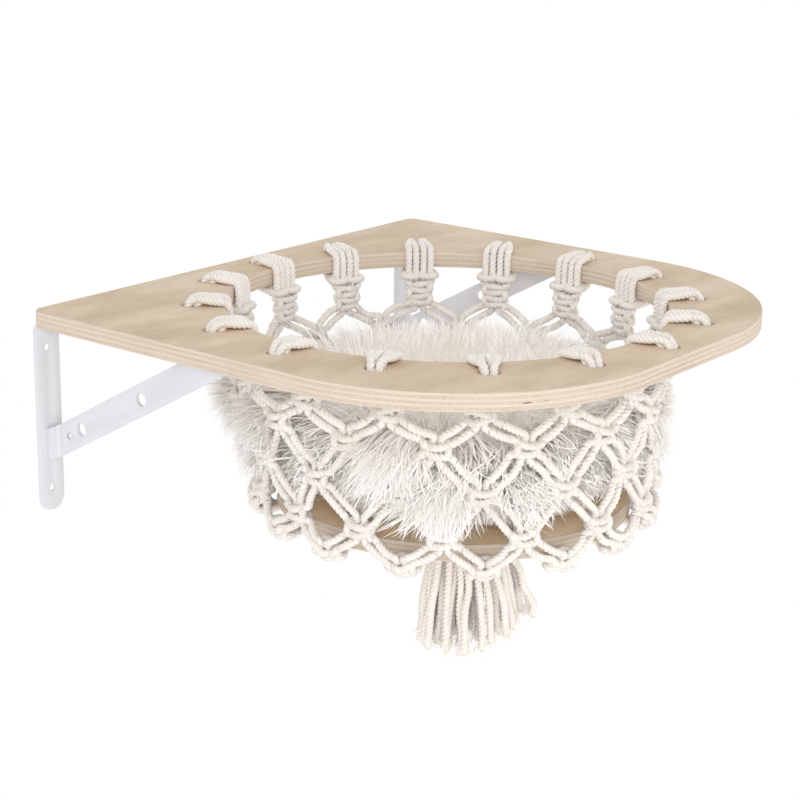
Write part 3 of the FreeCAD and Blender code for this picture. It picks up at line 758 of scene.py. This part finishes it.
def cotton():
    """Undyed cotton: fine yarns along each strand, painted shade in the grooves between strands, a few
    flecks.
    """
    shader = Shader("cotton_cord")
    yarn = shader.node("UVMap", {"uv_map": "yarn"}).outputs["UV"]
    lie = shader.node("Mapping", Vector=yarn, Scale=(160.0, 42.0, 1.0)).outputs["Vector"]
    fibres = shader.noise(lie, 1.0, 4.0, 0.6)
    around = shader.node("SeparateXYZ", Vector=yarn).outputs["Y"]
    # Mask of the grooves between the three strands, used for painted shade
    ridge = shader.math("ABSOLUTE", shader.math("COSINE", shader.math("MULTIPLY", around, 3 * math.pi)))
    painted_groove_shade = shader.math("POWER", shader.math("SUBTRACT", 1.0, ridge), 1.6)
    cloud = shader.noise(shader.place((1, 1, 1)), 38.0, 3.0)
    flecks = shader.noise(shader.place((1, 1, 1)), 420.0, 2.0)
    tone = shader.ramp(cloud, ((0.3, (0.875, 0.825, 0.775)), (0.7, (0.915, 0.88, 0.84))))
    colour = shader.mix(shader.math("MULTIPLY", fibres, 0.12), tone, (0.76, 0.68, 0.58))
    # Painted shade: the grooves between the strands are darkened towards brown
    colour = shader.mix(shader.math("MULTIPLY", painted_groove_shade, 0.24), colour, (0.62, 0.50, 0.38))
    speck = shader.ramp(flecks, ((0.70, (0, 0, 0)), (0.78, (1, 1, 1))))
    colour = shader.mix(shader.math("MULTIPLY", speck, 0.22), colour, (0.50, 0.42, 0.32))
    shader.set(Base_Color=colour, Roughness=0.88, Specular_IOR_Level=0.2)
    shader.set(Sheen_Weight=0.35, Sheen_Roughness=0.5)
    shader.bump(fibres, 0.35, 0.0006)
    return shader.material


def cotton_fray():
    """Loose cotton fibres at the cord ends."""
    shader = Shader("cotton_fray")
    cloud = shader.noise(shader.place((1, 1, 1)), 60.0, 3.0)
    colour = shader.ramp(cloud, ((0.3, (0.89, 0.85, 0.79)), (0.7, (0.95, 0.92, 0.88))))
    shader.set(Base_Color=colour, Roughness=0.85, Specular_IOR_Level=0.2, Sheen_Weight=0.3)
    return shader.material


def fur_hair():
    """White pile, darker and warmer at the roots as painted shade deep in the pile, with fine streaks along
    each lock.
    """
    shader = Shader("faux_fur")
    lie = shader.node("UVMap", {"uv_map": "hair"}).outputs["UV"]
    along = shader.node("SeparateXYZ", Vector=lie).outputs["Y"]
    stretched = shader.node("Mapping", Vector=lie, Scale=(17.0, 2.2, 1.0)).outputs["Vector"]
    strands = shader.noise(stretched, 1.0, 3.0, 0.6)
    cloud = shader.noise(shader.place((1, 1, 1)), 45.0, 3.0)
    # Painted shade: darker, warmer roots stand in for the warm shade deep in the pile
    root, middle, tip = (0.955, 0.89, 0.825), (0.98, 0.957, 0.933), (0.99, 0.982, 0.97)
    tone = shader.ramp(along, ((0.0, root), (0.4, middle), (1.0, tip)))
    colour = shader.mix(shader.math("MULTIPLY", strands, 0.26), tone, (0.93, 0.855, 0.785))
    colour = shader.mix(shader.math("MULTIPLY", cloud, 0.10), colour, (0.95, 0.89, 0.83))
    shader.set(Base_Color=colour, Roughness=0.9, Specular_IOR_Level=0.08)
    return shader.material


def fur_backing():
    """Short dense underfur of the cushion's cover."""
    shader = Shader("fur_backing")
    pile = shader.noise(shader.place((1, 1, 1)), 500.0, 4.0, 0.6)
    cloud = shader.noise(shader.place((1, 1, 1)), 24.0, 3.0)
    tone = shader.ramp(cloud, ((0.3, (0.955, 0.89, 0.825)), (0.7, (0.975, 0.94, 0.895))))
    colour = shader.mix(shader.math("MULTIPLY", pile, 0.12), tone, (0.90, 0.80, 0.70))
    shader.set(Base_Color=colour, Roughness=0.9, Specular_IOR_Level=0.15, Sheen_Weight=0.4)
    shader.bump(pile, 0.8, 0.002)
    return shader.material


# Boards

def arc_points(centre, radius, start, end, count):
    angles = np.linspace(math.radians(start), math.radians(end), count)
    return [(centre[0] + radius * math.cos(a), centre[1] + radius * math.sin(a)) for a in angles]


def ring_loop(centre, radius, count):
    """A closed circle of points, the last one short of the first."""
    return arc_points(centre, radius, 0, 360 - 360 / count, count)


def shelf_outline():
    half = SHELF_HIGH.x
    front_x = half - FRONT_CORNER_RADIUS
    front_y = SHELF_LOW.y + FRONT_CORNER_RADIUS
    back_x = half - BACK_CORNER_RADIUS
    back_y = SHELF_HIGH.y - BACK_CORNER_RADIUS
    points = arc_points((back_x, back_y), BACK_CORNER_RADIUS, 0, 90, 16)
    points += arc_points((-back_x, back_y), BACK_CORNER_RADIUS, 90, 180, 16)
    points += arc_points((-front_x, front_y), FRONT_CORNER_RADIUS, 180, 270, 48)
    return points + arc_points((front_x, front_y), FRONT_CORNER_RADIUS, 270, 360, 48)


def board(name, loops, low, high, ease, materials):
    """Flat board from closed loops, the first its outline and the rest its holes, with eased arrises."""
    curve = bpy.data.curves.new(name, "CURVE")
    curve.dimensions = "2D"
    curve.fill_mode = "BOTH"
    curve.extrude = (high - low) / 2 - ease
    curve.bevel_depth = ease
    curve.bevel_resolution = 2
    curve.offset = -ease
    for loop in loops:
        spline = curve.splines.new("POLY")
        spline.points.add(len(loop) - 1)
        for point, (x, y) in zip(spline.points, loop):
            point.co = (x, y, 0, 1)
        spline.use_cyclic_u = True
    source = linked(name + "_outline", curve)
    mesh = evaluated_mesh(source)
    bpy.data.objects.remove(source)
    mesh.transform(Matrix.Translation((0, 0, (low + high) / 2)))
    tool = bmesh.new()
    tool.from_mesh(mesh)
    bmesh.ops.remove_doubles(tool, verts=tool.verts, dist=1e-6)
    bmesh.ops.recalc_face_normals(tool, faces=tool.faces)
    tool.to_mesh(mesh)
    tool.free()
    mesh.materials.clear()
    for material in materials:
        mesh.materials.append(material)
    for polygon in mesh.polygons:
        flat = abs(polygon.normal.z) > 0.99
        polygon.use_smooth = not flat
        polygon.material_index = 0 if flat else 1
    mesh.name = name
    return linked(name, mesh)


def cut_arm_pockets(piece):
    """Recess the board's underside for the two arms, which lie flush in it."""
    tool = bmesh.new()
    for side in ("left", "right"):
        low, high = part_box("bracket_%s_plate" % side)
        middle_x = (low.x + high.x) / 2
        half = (high.x - low.x) / 2 + POCKET_GAP
        radius = ARM_END_RADIUS + POCKET_GAP
        end_y = -ARM_LENGTH - POCKET_GAP + radius
        outline = [(middle_x + half, 0.01), (middle_x - half, 0.01)]
        outline += arc_points((middle_x - half + radius, end_y), radius, 180, 270, 8)
        outline += arc_points((middle_x + half - radius, end_y), radius, 270, 360, 8)
        corners = [tool.verts.new((x, y, SHELF_LOW.z - 0.002)) for x, y in outline]
        base = tool.faces.new(corners)
        raised = bmesh.ops.extrude_face_region(tool, geom=[base])["geom"]
        lifted = [part for part in raised if isinstance(part, bmesh.types.BMVert)]
        bmesh.ops.translate(tool, verts=lifted, vec=(0, 0, STRIP_THICKNESS + 0.002))
    bmesh.ops.recalc_face_normals(tool, faces=tool.faces)
    mesh = bpy.data.meshes.new("arm_pockets")
    tool.to_mesh(mesh)
    tool.free()
    cutter = linked("arm_pockets", mesh)
    cut = piece.modifiers.new("pockets", "BOOLEAN")
    cut.operation = "DIFFERENCE"
    cut.solver = "EXACT"
    cut.object = cutter
    result = evaluated_mesh(piece)
    piece.modifiers.clear()
    piece.data = result
    bpy.data.objects.remove(cutter)


def eased_copy(name, node, width, material):
    """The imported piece's own shape, with small rounded arrises."""
    tool = bmesh.new()
    tool.from_mesh(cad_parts[node].data)
    bmesh.ops.remove_doubles(tool, verts=tool.verts, dist=1e-6)
    bmesh.ops.dissolve_limit(tool, angle_limit=math.radians(1), verts=tool.verts, edges=tool.edges)
    sharp = [edge for edge in tool.edges if edge.is_manifold and edge.calc_face_angle() > math.radians(40)]
    rounding = {"segments": 2, "profile": 0.5, "affect": "EDGES", "clamp_overlap": True}
    bmesh.ops.bevel(tool, geom=sharp, offset=width, **rounding)
    bmesh.ops.triangulate(tool, faces=[face for face in tool.faces if len(face.verts) > 4])
    mesh = bpy.data.meshes.new(name)
    tool.to_mesh(mesh)
    tool.free()
    mesh.materials.append(material)
    shade_smooth(mesh)
    mesh.set_sharp_from_angle(angle=math.radians(32))
    return linked(name, mesh)


# Cushion and fur

def cushion_profile():
    """Radius and height of the cushion's stuffed cover, inside its CAD solid by the depth of the pile."""
    low, high = CUSHION_LOW.z, CUSHION_HIGH.z
    belly = (CUSHION_HIGH.x - CUSHION_LOW.x) / 2 - 0.003
    return [
        (0.0, low + 0.001),
        (belly - 0.032, low + 0.001),
        (belly - 0.019, low + 0.007),
        (belly - 0.008, low + 0.018),
        (belly, low + 0.038),
        (belly - 0.002, low + 0.058),
        (belly - 0.014, high - 0.014),
        (belly * 0.6, high - 0.007),
        (0.0, high - 0.007),
    ]


def turned_mesh(profile, centre, sides):
    vertices, faces = [], []
    rings = [(radius, z) for radius, z in profile if radius > 0]
    for radius, z in rings:
        for side in range(sides):
            angle = 2 * math.pi * side / sides
            vertices.append((centre.x + radius * math.cos(angle), centre.y + radius * math.sin(angle), z))
    for ring in range(len(rings) - 1):
        for side in range(sides):
            after = (side + 1) % sides
            low, high = ring * sides, (ring + 1) * sides
            faces.append((low + side, low + after, high + after, high + side))
    faces.append(tuple(reversed(range(sides))))
    faces.append(tuple(range((len(rings) - 1) * sides, len(rings) * sides)))
    return vertices, faces


def stuffed(piece, pressure, cap):
    """Swell the piece as a stuffed cover and keep the result as its mesh."""
    bpy.context.view_layer.objects.active = piece
    remesh = piece.modifiers.new("remesh", "REMESH")
    remesh.mode = "VOXEL"
    remesh.voxel_size = VOXEL
    mesh = evaluated_mesh(piece)
    piece.modifiers.clear()
    piece.data = mesh
    start = np.array([vertex.co for vertex in mesh.vertices])
    cloth = piece.modifiers.new("cloth", "CLOTH")
    cloth.settings.use_pressure = True
    cloth.settings.uniform_pressure_force = pressure
    cloth.settings.effector_weights.gravity = 0
    cloth.settings.quality = 5
    cloth.point_cache.frame_start = 1
    cloth.point_cache.frame_end = CLOTH_FRAMES
    for step in range(1, CLOTH_FRAMES + 1):
        bpy.context.scene.frame_set(step)
    moved = evaluated_mesh(piece)
    end = np.array([vertex.co for vertex in moved.vertices])
    piece.modifiers.clear()
    bpy.context.scene.frame_set(1)
    shift = end - start
    size = np.linalg.norm(shift, axis=1, keepdims=True)
    end = start + shift * np.minimum(1, cap / np.maximum(size, 1e-9))
    end[:, 2] = np.maximum(end[:, 2], CUSHION_LOW.z + 0.0005)
    mesh.vertices.foreach_set("co", end.ravel())
    mesh.update()
    shade_smooth(mesh)


def fur_roots(piece, count):
    """Points and normals spread over the cushion's sides and top."""
    mesh = piece.data
    mesh.calc_loop_triangles()
    corners = np.array([triangle.vertices for triangle in mesh.loop_triangles])
    places = np.array([vertex.co for vertex in mesh.vertices])
    a, b, c = (places[corners[:, i]] for i in range(3))
    normals = np.cross(b - a, c - a)
    areas = np.linalg.norm(normals, axis=1)
    normals /= np.maximum(areas, 1e-12)[:, None]
    weight = areas * (normals[:, 2] > -0.93)
    chosen = rng.choice(len(areas), count, p=weight / weight.sum())
    u, v = rng.random(count), rng.random(count)
    over = u + v > 1
    u[over], v[over] = 1 - u[over], 1 - v[over]
    points = a[chosen] + (b - a)[chosen] * u[:, None] + (c - a)[chosen] * v[:, None]
    return points, normals[chosen]


def bent_stations(root, control, tip):
    """Stations from root to tip along an arc that leans on the control point."""
    stations = []
    for share in (0.0, 0.22, 0.45, 0.68, 0.87, 1.0):
        stay, go = 1 - share, share
        stations.append(root * stay * stay + control * 2 * stay * go + tip * go * go)
    return stations


def clear_of_disc(points):
    """Lift points so that the disc's rim stays bare."""
    centre = np.array(OPENING_CENTRE + GATHER_OFFSET * NET_ROWS[2][2])
    radius = np.linalg.norm(points[:, :2] - centre[:2], axis=1)
    lowest = DISC_HIGH.z + BARE_CLEARANCE + BARE_SLOPE * np.maximum(0, radius - BARE_RADIUS)
    wisps = rng.exponential(0.004, len(points)) - 0.003
    points[:, 2] = np.maximum(points[:, 2], np.maximum(lowest + wisps, DISC_HIGH.z + BARE_CLEARANCE))
    return points


def cover_fur(cushion, count, longer):
    """Fur over the cushion's cover, in clumps that draw together.

    It lies flat on the sides, stands on the top and falls outward at the shoulder.
    """
    clump_at, clump_out = fur_roots(cushion, COVER_CLUMPS)
    lean = rng.normal(0, 1, (COVER_CLUMPS, 3)) + (0, 0, -0.5)
    lean -= clump_out * (lean * clump_out).sum(1)[:, None]
    lean = unit(lean)
    roots, outs = fur_roots(cushion, count)
    nearest = np.empty(count, int)
    for start in range(0, count, 2000):
        gap = np.linalg.norm(roots[start:start + 2000, None, :] - clump_at[None, :, :], axis=2)
        nearest[start:start + 2000] = gap.argmin(1)
    top = np.clip(outs[:, 2:] * 2 - 0.4, 0, 1)
    low_down = np.clip((roots[:, 2:] - DISC_HIGH.z - 0.004) / 0.028, 0.45, 1)
    rise = rng.uniform(*SIDE_RISE, (count, 1)) * (1 - top) + rng.uniform(*TOP_RISE, (count, 1)) * top
    sweep = rng.uniform(*SIDE_SWEEP, (count, 1)) * (1 - top) + rng.uniform(*TOP_SWEEP, (count, 1)) * top
    from_axis = (roots - np.array(OPENING_CENTRE)) * (1, 1, 0)
    axis_gap = np.linalg.norm(from_axis, axis=1)[:, None]
    shoulder = np.clip((axis_gap - SHOULDER_RADIUS) / SHOULDER_WIDTH, 0, 1) * np.clip(outs[:, 2:] * 3, 0, 1)
    sweep = sweep + rng.uniform(*SHOULDER_SWEEP, (count, 1)) * shoulder
    rise, sweep = rise * longer * low_down, sweep * longer * low_down
    way = lean[nearest] * (1 - 0.5 * shoulder) + rng.normal(0, 0.18, (count, 3)) * (1 + shoulder)
    way = way + from_axis / axis_gap * (SHOULDER_OUTWARD * shoulder)
    pull = (clump_at[nearest] - roots) * rng.uniform(0.1, 0.5, (count, 1))
    tips = roots + outs * rise + way * sweep + pull
    middle = np.array(OPENING_CENTRE)
    tip_gap = np.linalg.norm((tips - middle) * (1, 1, 0), axis=1)[:, None]
    drawn_in = np.minimum(1, rng.uniform(*SHOULDER_REACH, (count, 1)) / tip_gap)
    tips = clear_of_disc(middle + (tips - middle) * np.hstack((drawn_in, drawn_in, np.ones((count, 1)))))
    control = roots + outs * rise * 1.15 + way * sweep * 0.25
    facing = outs + rng.normal(0, FACING_STRAY, (count, 3))
    return bent_stations(roots - outs * 0.001, control, tips), facing, 1 - TOP_SLIMNESS * top[:, 0]


def cover_radius(heights):
    """Radius of the cushion's cover at the given heights."""
    radii, levels = zip(*cushion_profile()[1:-1])
    return np.interp(heights, levels, radii)


def tuft_fur(count, longer):
    """Fur of the tufts that push out through the holes of the net."""
    roots, controls, tips, facings = [], [], [], []
    up = np.array((0, 0, 1.0))
    for number, (z, radius, lean, _) in enumerate(NET_ROWS[:TUFT_ROWS], start=1):
        centre = np.array(OPENING_CENTRE + GATHER_OFFSET * lean)
        for index in range(HANGERS):
            angle = (index + (number + 1) % 2 / 2) * STEP
            out, along = outward(angle), onward(angle)
            reach, droop, sweep, share = rng.uniform(*TUFT_REACH), rng.uniform(*TUFT_DROOP), 0.0, TUFT_SHARE
            puff, drop = 1.0, TUFT_ROOT_DROP[number - 1]
            for low, high, rows, *bold in BOLD_TUFTS:
                if low <= math.degrees(angle) <= high and number in rows:
                    reach, droop, sweep, share = bold
                    puff, drop = TUFT_PUFF, drop / 2
            hole = centre + out * radius + (0, 0, z)
            hairs = int(count * share)
            side = rng.normal(0, TUFT_ROOT_SPREAD, (hairs, 1))
            height = rng.normal(-drop, TUFT_ROOT_SPREAD, (hairs, 1))
            highest = CUSHION_HIGH.z - 0.013 - z
            height = np.where(height > highest, 2 * highest - height, height)
            height = np.maximum(height, DISC_HIGH.z + 0.012 - z)
            long = rng.uniform(*TUFT_LENGTH, (hairs, 1)) * longer
            wisps = rng.normal(0, WISP_SPREAD, (TUFT_WISPS, 2))
            gaps = (side - wisps[None, :, 0]) ** 2 + (height - wisps[None, :, 1]) ** 2
            wisp = wisps[gaps.argmin(1)]
            gather = rng.uniform(*TUFT_GATHER, (hairs, 1))
            tip_side = side * (1 - gather) + wisp[:, :1] * gather * WISP_FAN[0]
            tip_side = tip_side + rng.normal(0, TUFT_STRAY[0], (hairs, 1))
            tip_height = height * (1 - gather) + wisp[:, 1:] * gather * WISP_FAN[1]
            tip_height = tip_height + rng.normal(0, TUFT_STRAY[1], (hairs, 1))
            root = hole + out * (cover_radius(z + height) - 0.004 - radius) + along * side + up * height
            far_out = np.clip((side ** 2 + height ** 2) / (2 * TUFT_ROOT_SPREAD) ** 2, 0, 1)
            ahead = reach * long * (1 - TUFT_DOME * far_out)
            tip = hole + out * ahead + along * (tip_side * puff + sweep * long)
            tip = tip + up * (tip_height * puff - droop * long)
            roots.append(root)
            lift = rng.normal(0.003, 0.003, (hairs, 1))
            bow = along * (side * 0.9 + rng.normal(0, 0.005, (hairs, 1))) + up * (height * 0.9 + lift)
            controls.append(hole + out * (reach * 0.62 * long) + bow)
            tips.append(clear_of_disc(tip))
            facings.append(out + up * 0.4 + along * side * 20 + rng.normal(0, FACING_STRAY, (hairs, 3)))
    stations = bent_stations(np.concatenate(roots), np.concatenate(controls), np.concatenate(tips))
    facing = np.concatenate(facings)
    return stations, facing, np.full(len(facing), 1 - TUFT_SLIMNESS)


def fur_piece(name, stations, facing, widths, flatness, material):
    """Closed tapering hairs or locks of three sides. A flat lock turns its broad side to its facing."""
    corners = 3
    count = len(stations[0])
    rings = len(stations) - 1
    ways = stations[-1] - stations[0]
    side = unit(np.cross(ways, facing))
    other = unit(np.cross(ways, side))
    points = []
    for station, share in zip(stations[:-1], (0.75, 1.0, 0.85, 0.55, 0.24)):
        half = (widths * share)[:, None]
        for corner in range(corners):
            angle = math.pi / 2 + corner * 2 * math.pi / corners
            points.append(station + half * (math.cos(angle) * side + flatness * math.sin(angle) * other))
    size = rings * corners + 1
    vertices = np.stack(points + [stations[-1]], axis=1)
    base = (np.arange(count) * size)[:, None]
    quads, tips = [], []
    top = (rings - 1) * corners
    for corner in range(corners):
        after = (corner + 1) % corners
        for ring in range(rings - 1):
            low = ring * corners
            high = low + corners
            quads.append(base + np.array([[low + corner, low + after, high + after, high + corner]]))
        tips.append(base + np.array([[top + corner, top + after, size - 1]]))
    quads = np.stack(quads, axis=1).reshape(-1, 4)
    tips = np.stack(tips, axis=1).reshape(-1, 3)
    bottoms = base + np.arange(corners)[::-1][None, :]
    ends = list(tips) + list(bottoms)
    piece = quad_mesh(name, vertices.reshape(-1, 3), quads, ends, material, smooth=False)
    heights = np.append(np.repeat(np.arange(rings) / rings, corners), 1.0)
    turns = np.append(np.tile(np.abs(np.arange(corners) * 2 / corners - 1), rings), 0.5)
    corner = np.concatenate([quads.ravel(), tips.ravel(), bottoms.ravel()])
    hair, place = corner // size, corner % size
    columns = int(math.ceil(math.sqrt(count)))
    values = np.stack([turns[place] + hair % 97 * 1.7, heights[place]], axis=1)
    cell_x = hair % columns + 0.1 + 0.8 * turns[place]
    cell_y = hair // columns + 0.05 + 0.9 * heights[place]
    cells = np.stack([cell_x, cell_y], axis=1) / columns
    for map_name, numbers in (("hair", values), ("OFBake", cells)):
        layer = piece.data.uv_layers.new(name=map_name)
        layer.uv.foreach_set("vector", numbers.astype(np.float32).ravel())
    return piece


# Build

COTTON = cotton()
EASE = 0.0009
PLIES = 7
holes = [ring_loop(OPENING_CENTRE, OPENING_RADIUS, 160)]
for number in range(HANGERS):
    middle = np.array(OPENING_CENTRE) + LACE_RADIUS * outward(number * STEP)
    holes.append(ring_loop(middle, LACE_HOLE_RADIUS, 28))
FACE = birch_face(
    "birch_face",
    pale=(0.53, 0.405, 0.275),
    middle=(0.62, 0.49, 0.355),
    bright=(0.71, 0.575, 0.435),
    grain_colour=(0.47, 0.345, 0.225),
)
# The disc's veneer: warmer than the shelf's, and its brightness lifted as painted light against the shade
# under the cushion and shelf
WARM_FACE_PAINTED_LIGHT = birch_face(
    "birch_face_warm_painted_light",
    pale=(0.82, 0.60, 0.37),
    middle=(0.87, 0.67, 0.45),
    bright=(0.90, 0.73, 0.53),
    grain_colour=(0.74, 0.50, 0.29),
)
shelf_skin = [FACE, birch_edge(SHELF_LOW.z, SHELF_HIGH.z, PLIES)]
shelf = board("shelf_board", [shelf_outline()] + holes, SHELF_LOW.z, SHELF_HIGH.z, EASE, shelf_skin)
cut_arm_pockets(shelf)
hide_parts("shelf_panel")
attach(shelf, "shelf")

disc_middle = ((DISC_LOW.x + DISC_HIGH.x) / 2, (DISC_LOW.y + DISC_HIGH.y) / 2)
disc_radius = (DISC_HIGH.x - DISC_LOW.x) / 2
disc_skin = [WARM_FACE_PAINTED_LIGHT, birch_edge(DISC_LOW.z, DISC_HIGH.z, PLIES)]
disc_outline = ring_loop(disc_middle, disc_radius, 140)
disc = board("base_board", [disc_outline], DISC_LOW.z, DISC_HIGH.z, EASE, disc_skin)
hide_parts("base_disc")
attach(disc, "disc")

COAT = powder_coat()
ZINC = zinc()
for side in ("left", "right"):
    for part in ("plate", "brace"):
        node = "bracket_%s_%s" % (side, part)
        strip = eased_copy(node + "_strip", node, 0.0005, COAT)
        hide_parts(node)
        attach(strip, "shelf")
    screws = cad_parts["bracket_%s_screws" % side]
    screws.data.materials.clear()
    screws.data.materials.append(ZINC)

for node, parts in net_ropes().items():
    piece = rope_piece(node + "_cords", parts, COTTON)
    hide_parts(node)
    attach(piece, "shelf")
tassel, cord_ends = tassel_ropes()
for name, node, parts, body in (
    ("gathering_cords", "gathering_knot", gathering_ropes(), "shelf"),
    ("tassel_strands", "tassel_cords", tassel, "tassel"),
):
    piece = rope_piece(name, parts, COTTON)
    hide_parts(node)
    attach(piece, body)
fibres, fibre_facing = fray_fibres(cord_ends)
fibre_widths = np.full(len(fibre_facing), FIBRE_WIDTH)
fray = fur_piece("tassel_fray", fibres, fibre_facing, fibre_widths, 1.0, cotton_fray())
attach(fray, "tassel")

cushion_middle = Vector(((CUSHION_LOW.x + CUSHION_HIGH.x) / 2, (CUSHION_LOW.y + CUSHION_HIGH.y) / 2, 0))
vertices, faces = turned_mesh(cushion_profile(), cushion_middle, 64)
cushion = mesh_object("cushion_cover", vertices, faces, fur_backing())
stuffed(cushion, COVER_PRESSURE, COVER_CAP)
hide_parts("fur_cushion")
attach(cushion, "cushion")
FUR = fur_hair()
for name, (locks, facing, slim), widths, flatness in (
    ("fur_cover_locks", cover_fur(cushion, COVER_LOCKS, 1.0), LOCK_WIDTH, LOCK_FLATNESS),
    ("fur_cover_hairs", cover_fur(cushion, COVER_HAIRS, 1.12), (HAIR_WIDTH, HAIR_WIDTH), 1.0),
    ("fur_tuft_locks", tuft_fur(TUFT_LOCKS, 1.0), LOCK_WIDTH, LOCK_FLATNESS),
    ("fur_tuft_hairs", tuft_fur(TUFT_HAIRS, 1.15), (HAIR_WIDTH, HAIR_WIDTH), 1.0),
):
    fur = fur_piece(name, locks, facing, rng.uniform(*widths, len(slim)) * slim, flatness, FUR)
    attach(fur, "cushion")

# Stage, light and camera

WORLD_STRENGTH = 0.86
FLOOR_LEVEL = -0.62
FLOOR_REACH = 6.0
FLOOR_CORNERS = ((-1, -1), (1, -1), (1, 1), (-1, 1))


def white_stage(material, white, other):
    """White where the camera sees it, also in reflections, and a plain surface or light for all else."""
    tree = material.node_tree
    path = tree.nodes.new("ShaderNodeLightPath")
    seen = tree.nodes.new("ShaderNodeMath")
    seen.operation = "MAXIMUM"
    tree.links.new(path.outputs["Is Camera Ray"], seen.inputs[0])
    tree.links.new(path.outputs["Is Glossy Ray"], seen.inputs[1])
    mix = tree.nodes.new("ShaderNodeMixShader")
    tree.links.new(seen.outputs[0], mix.inputs[0])
    tree.links.new(other, mix.inputs[1])
    tree.links.new(white, mix.inputs[2])
    return mix.outputs[0]


world = bpy.data.worlds.new("studio")
bpy.context.scene.world = world
world.use_nodes = True
tree = world.node_tree
tree.nodes.clear()
seen = tree.nodes.new("ShaderNodeBackground")
seen.inputs["Color"].default_value = (1, 1, 1, 1)
seen.inputs["Strength"].default_value = 1.0
light = tree.nodes.new("ShaderNodeBackground")
light.inputs["Color"].default_value = (1, 1, 1, 1)
light.inputs["Strength"].default_value = WORLD_STRENGTH
output = tree.nodes.new("ShaderNodeOutputWorld")
tree.links.new(white_stage(world, seen.outputs[0], light.outputs[0]), output.inputs["Surface"])

floor_mesh = bpy.data.meshes.new("floor")
floor_corners = [(x * FLOOR_REACH, y * FLOOR_REACH, FLOOR_LEVEL) for x, y in FLOOR_CORNERS]
floor_mesh.from_pydata(floor_corners, [], [(0, 1, 2, 3)])
floor = linked("floor", floor_mesh)
paper = bpy.data.materials.new("floor_white")
paper.use_nodes = True
tree = paper.node_tree
surface = tree.nodes["Principled BSDF"]
surface.inputs["Base Color"].default_value = (0.92, 0.92, 0.92, 1)
surface.inputs["Roughness"].default_value = 0.9
glow = tree.nodes.new("ShaderNodeEmission")
glow.inputs["Strength"].default_value = 1.0
shown = white_stage(paper, glow.outputs[0], surface.outputs[0])
tree.links.new(shown, tree.nodes["Material Output"].inputs["Surface"])
floor_mesh.materials.append(paper)


def area_light(name, place, target, size, power):
    lamp = bpy.data.lights.new(name, "AREA")
    lamp.shape = "DISK"
    lamp.size = size
    lamp.energy = power
    holder = linked(name, lamp)
    holder.location = place
    holder.rotation_euler = (Vector(target) - Vector(place)).to_track_quat("-Z", "Y").to_euler()


area_light("key", (-2.30, -1.92, 0.95), (0, -0.2, 0), 1.1, 27.0)
area_light("low", (-1.0, -2.4, -0.35), (0, -0.2, -0.05), 1.6, 9.0)
area_light("fill_right", (2.6, -1.7, 0.60), (0, -0.2, 0), 1.4, 14.0)
area_light("fill_back", (-0.6, 2.8, 0.60), (0, -0.2, 0), 1.4, 13.0)

CAMERA_PLACE = Vector((-1.13646, -1.05132, 0.438205))
CAMERA_AHEAD = Vector((0.75457, 0.58767, -0.29201)).normalized()
CAMERA_ROLL = math.radians(1.030)
FOCAL_PIXELS = 1940.5
IMAGE_PIXELS = 800
SENSOR = 36.0
level_right = CAMERA_AHEAD.cross(Vector((0, 0, 1))).normalized()
level_up = level_right.cross(CAMERA_AHEAD)
right = level_right * math.cos(CAMERA_ROLL) + level_up * math.sin(CAMERA_ROLL)
up = right.cross(CAMERA_AHEAD)
lens = bpy.data.cameras.new("camera")
lens.sensor_fit = "HORIZONTAL"
lens.sensor_width = SENSOR
lens.lens = SENSOR * FOCAL_PIXELS / IMAGE_PIXELS
camera = linked("camera", lens)
camera_turn = Matrix((right, up, -CAMERA_AHEAD)).transposed().to_4x4()
camera.matrix_world = Matrix.Translation(CAMERA_PLACE) @ camera_turn
bpy.context.scene.camera = camera
bpy.context.scene.view_settings.view_transform = "Standard"
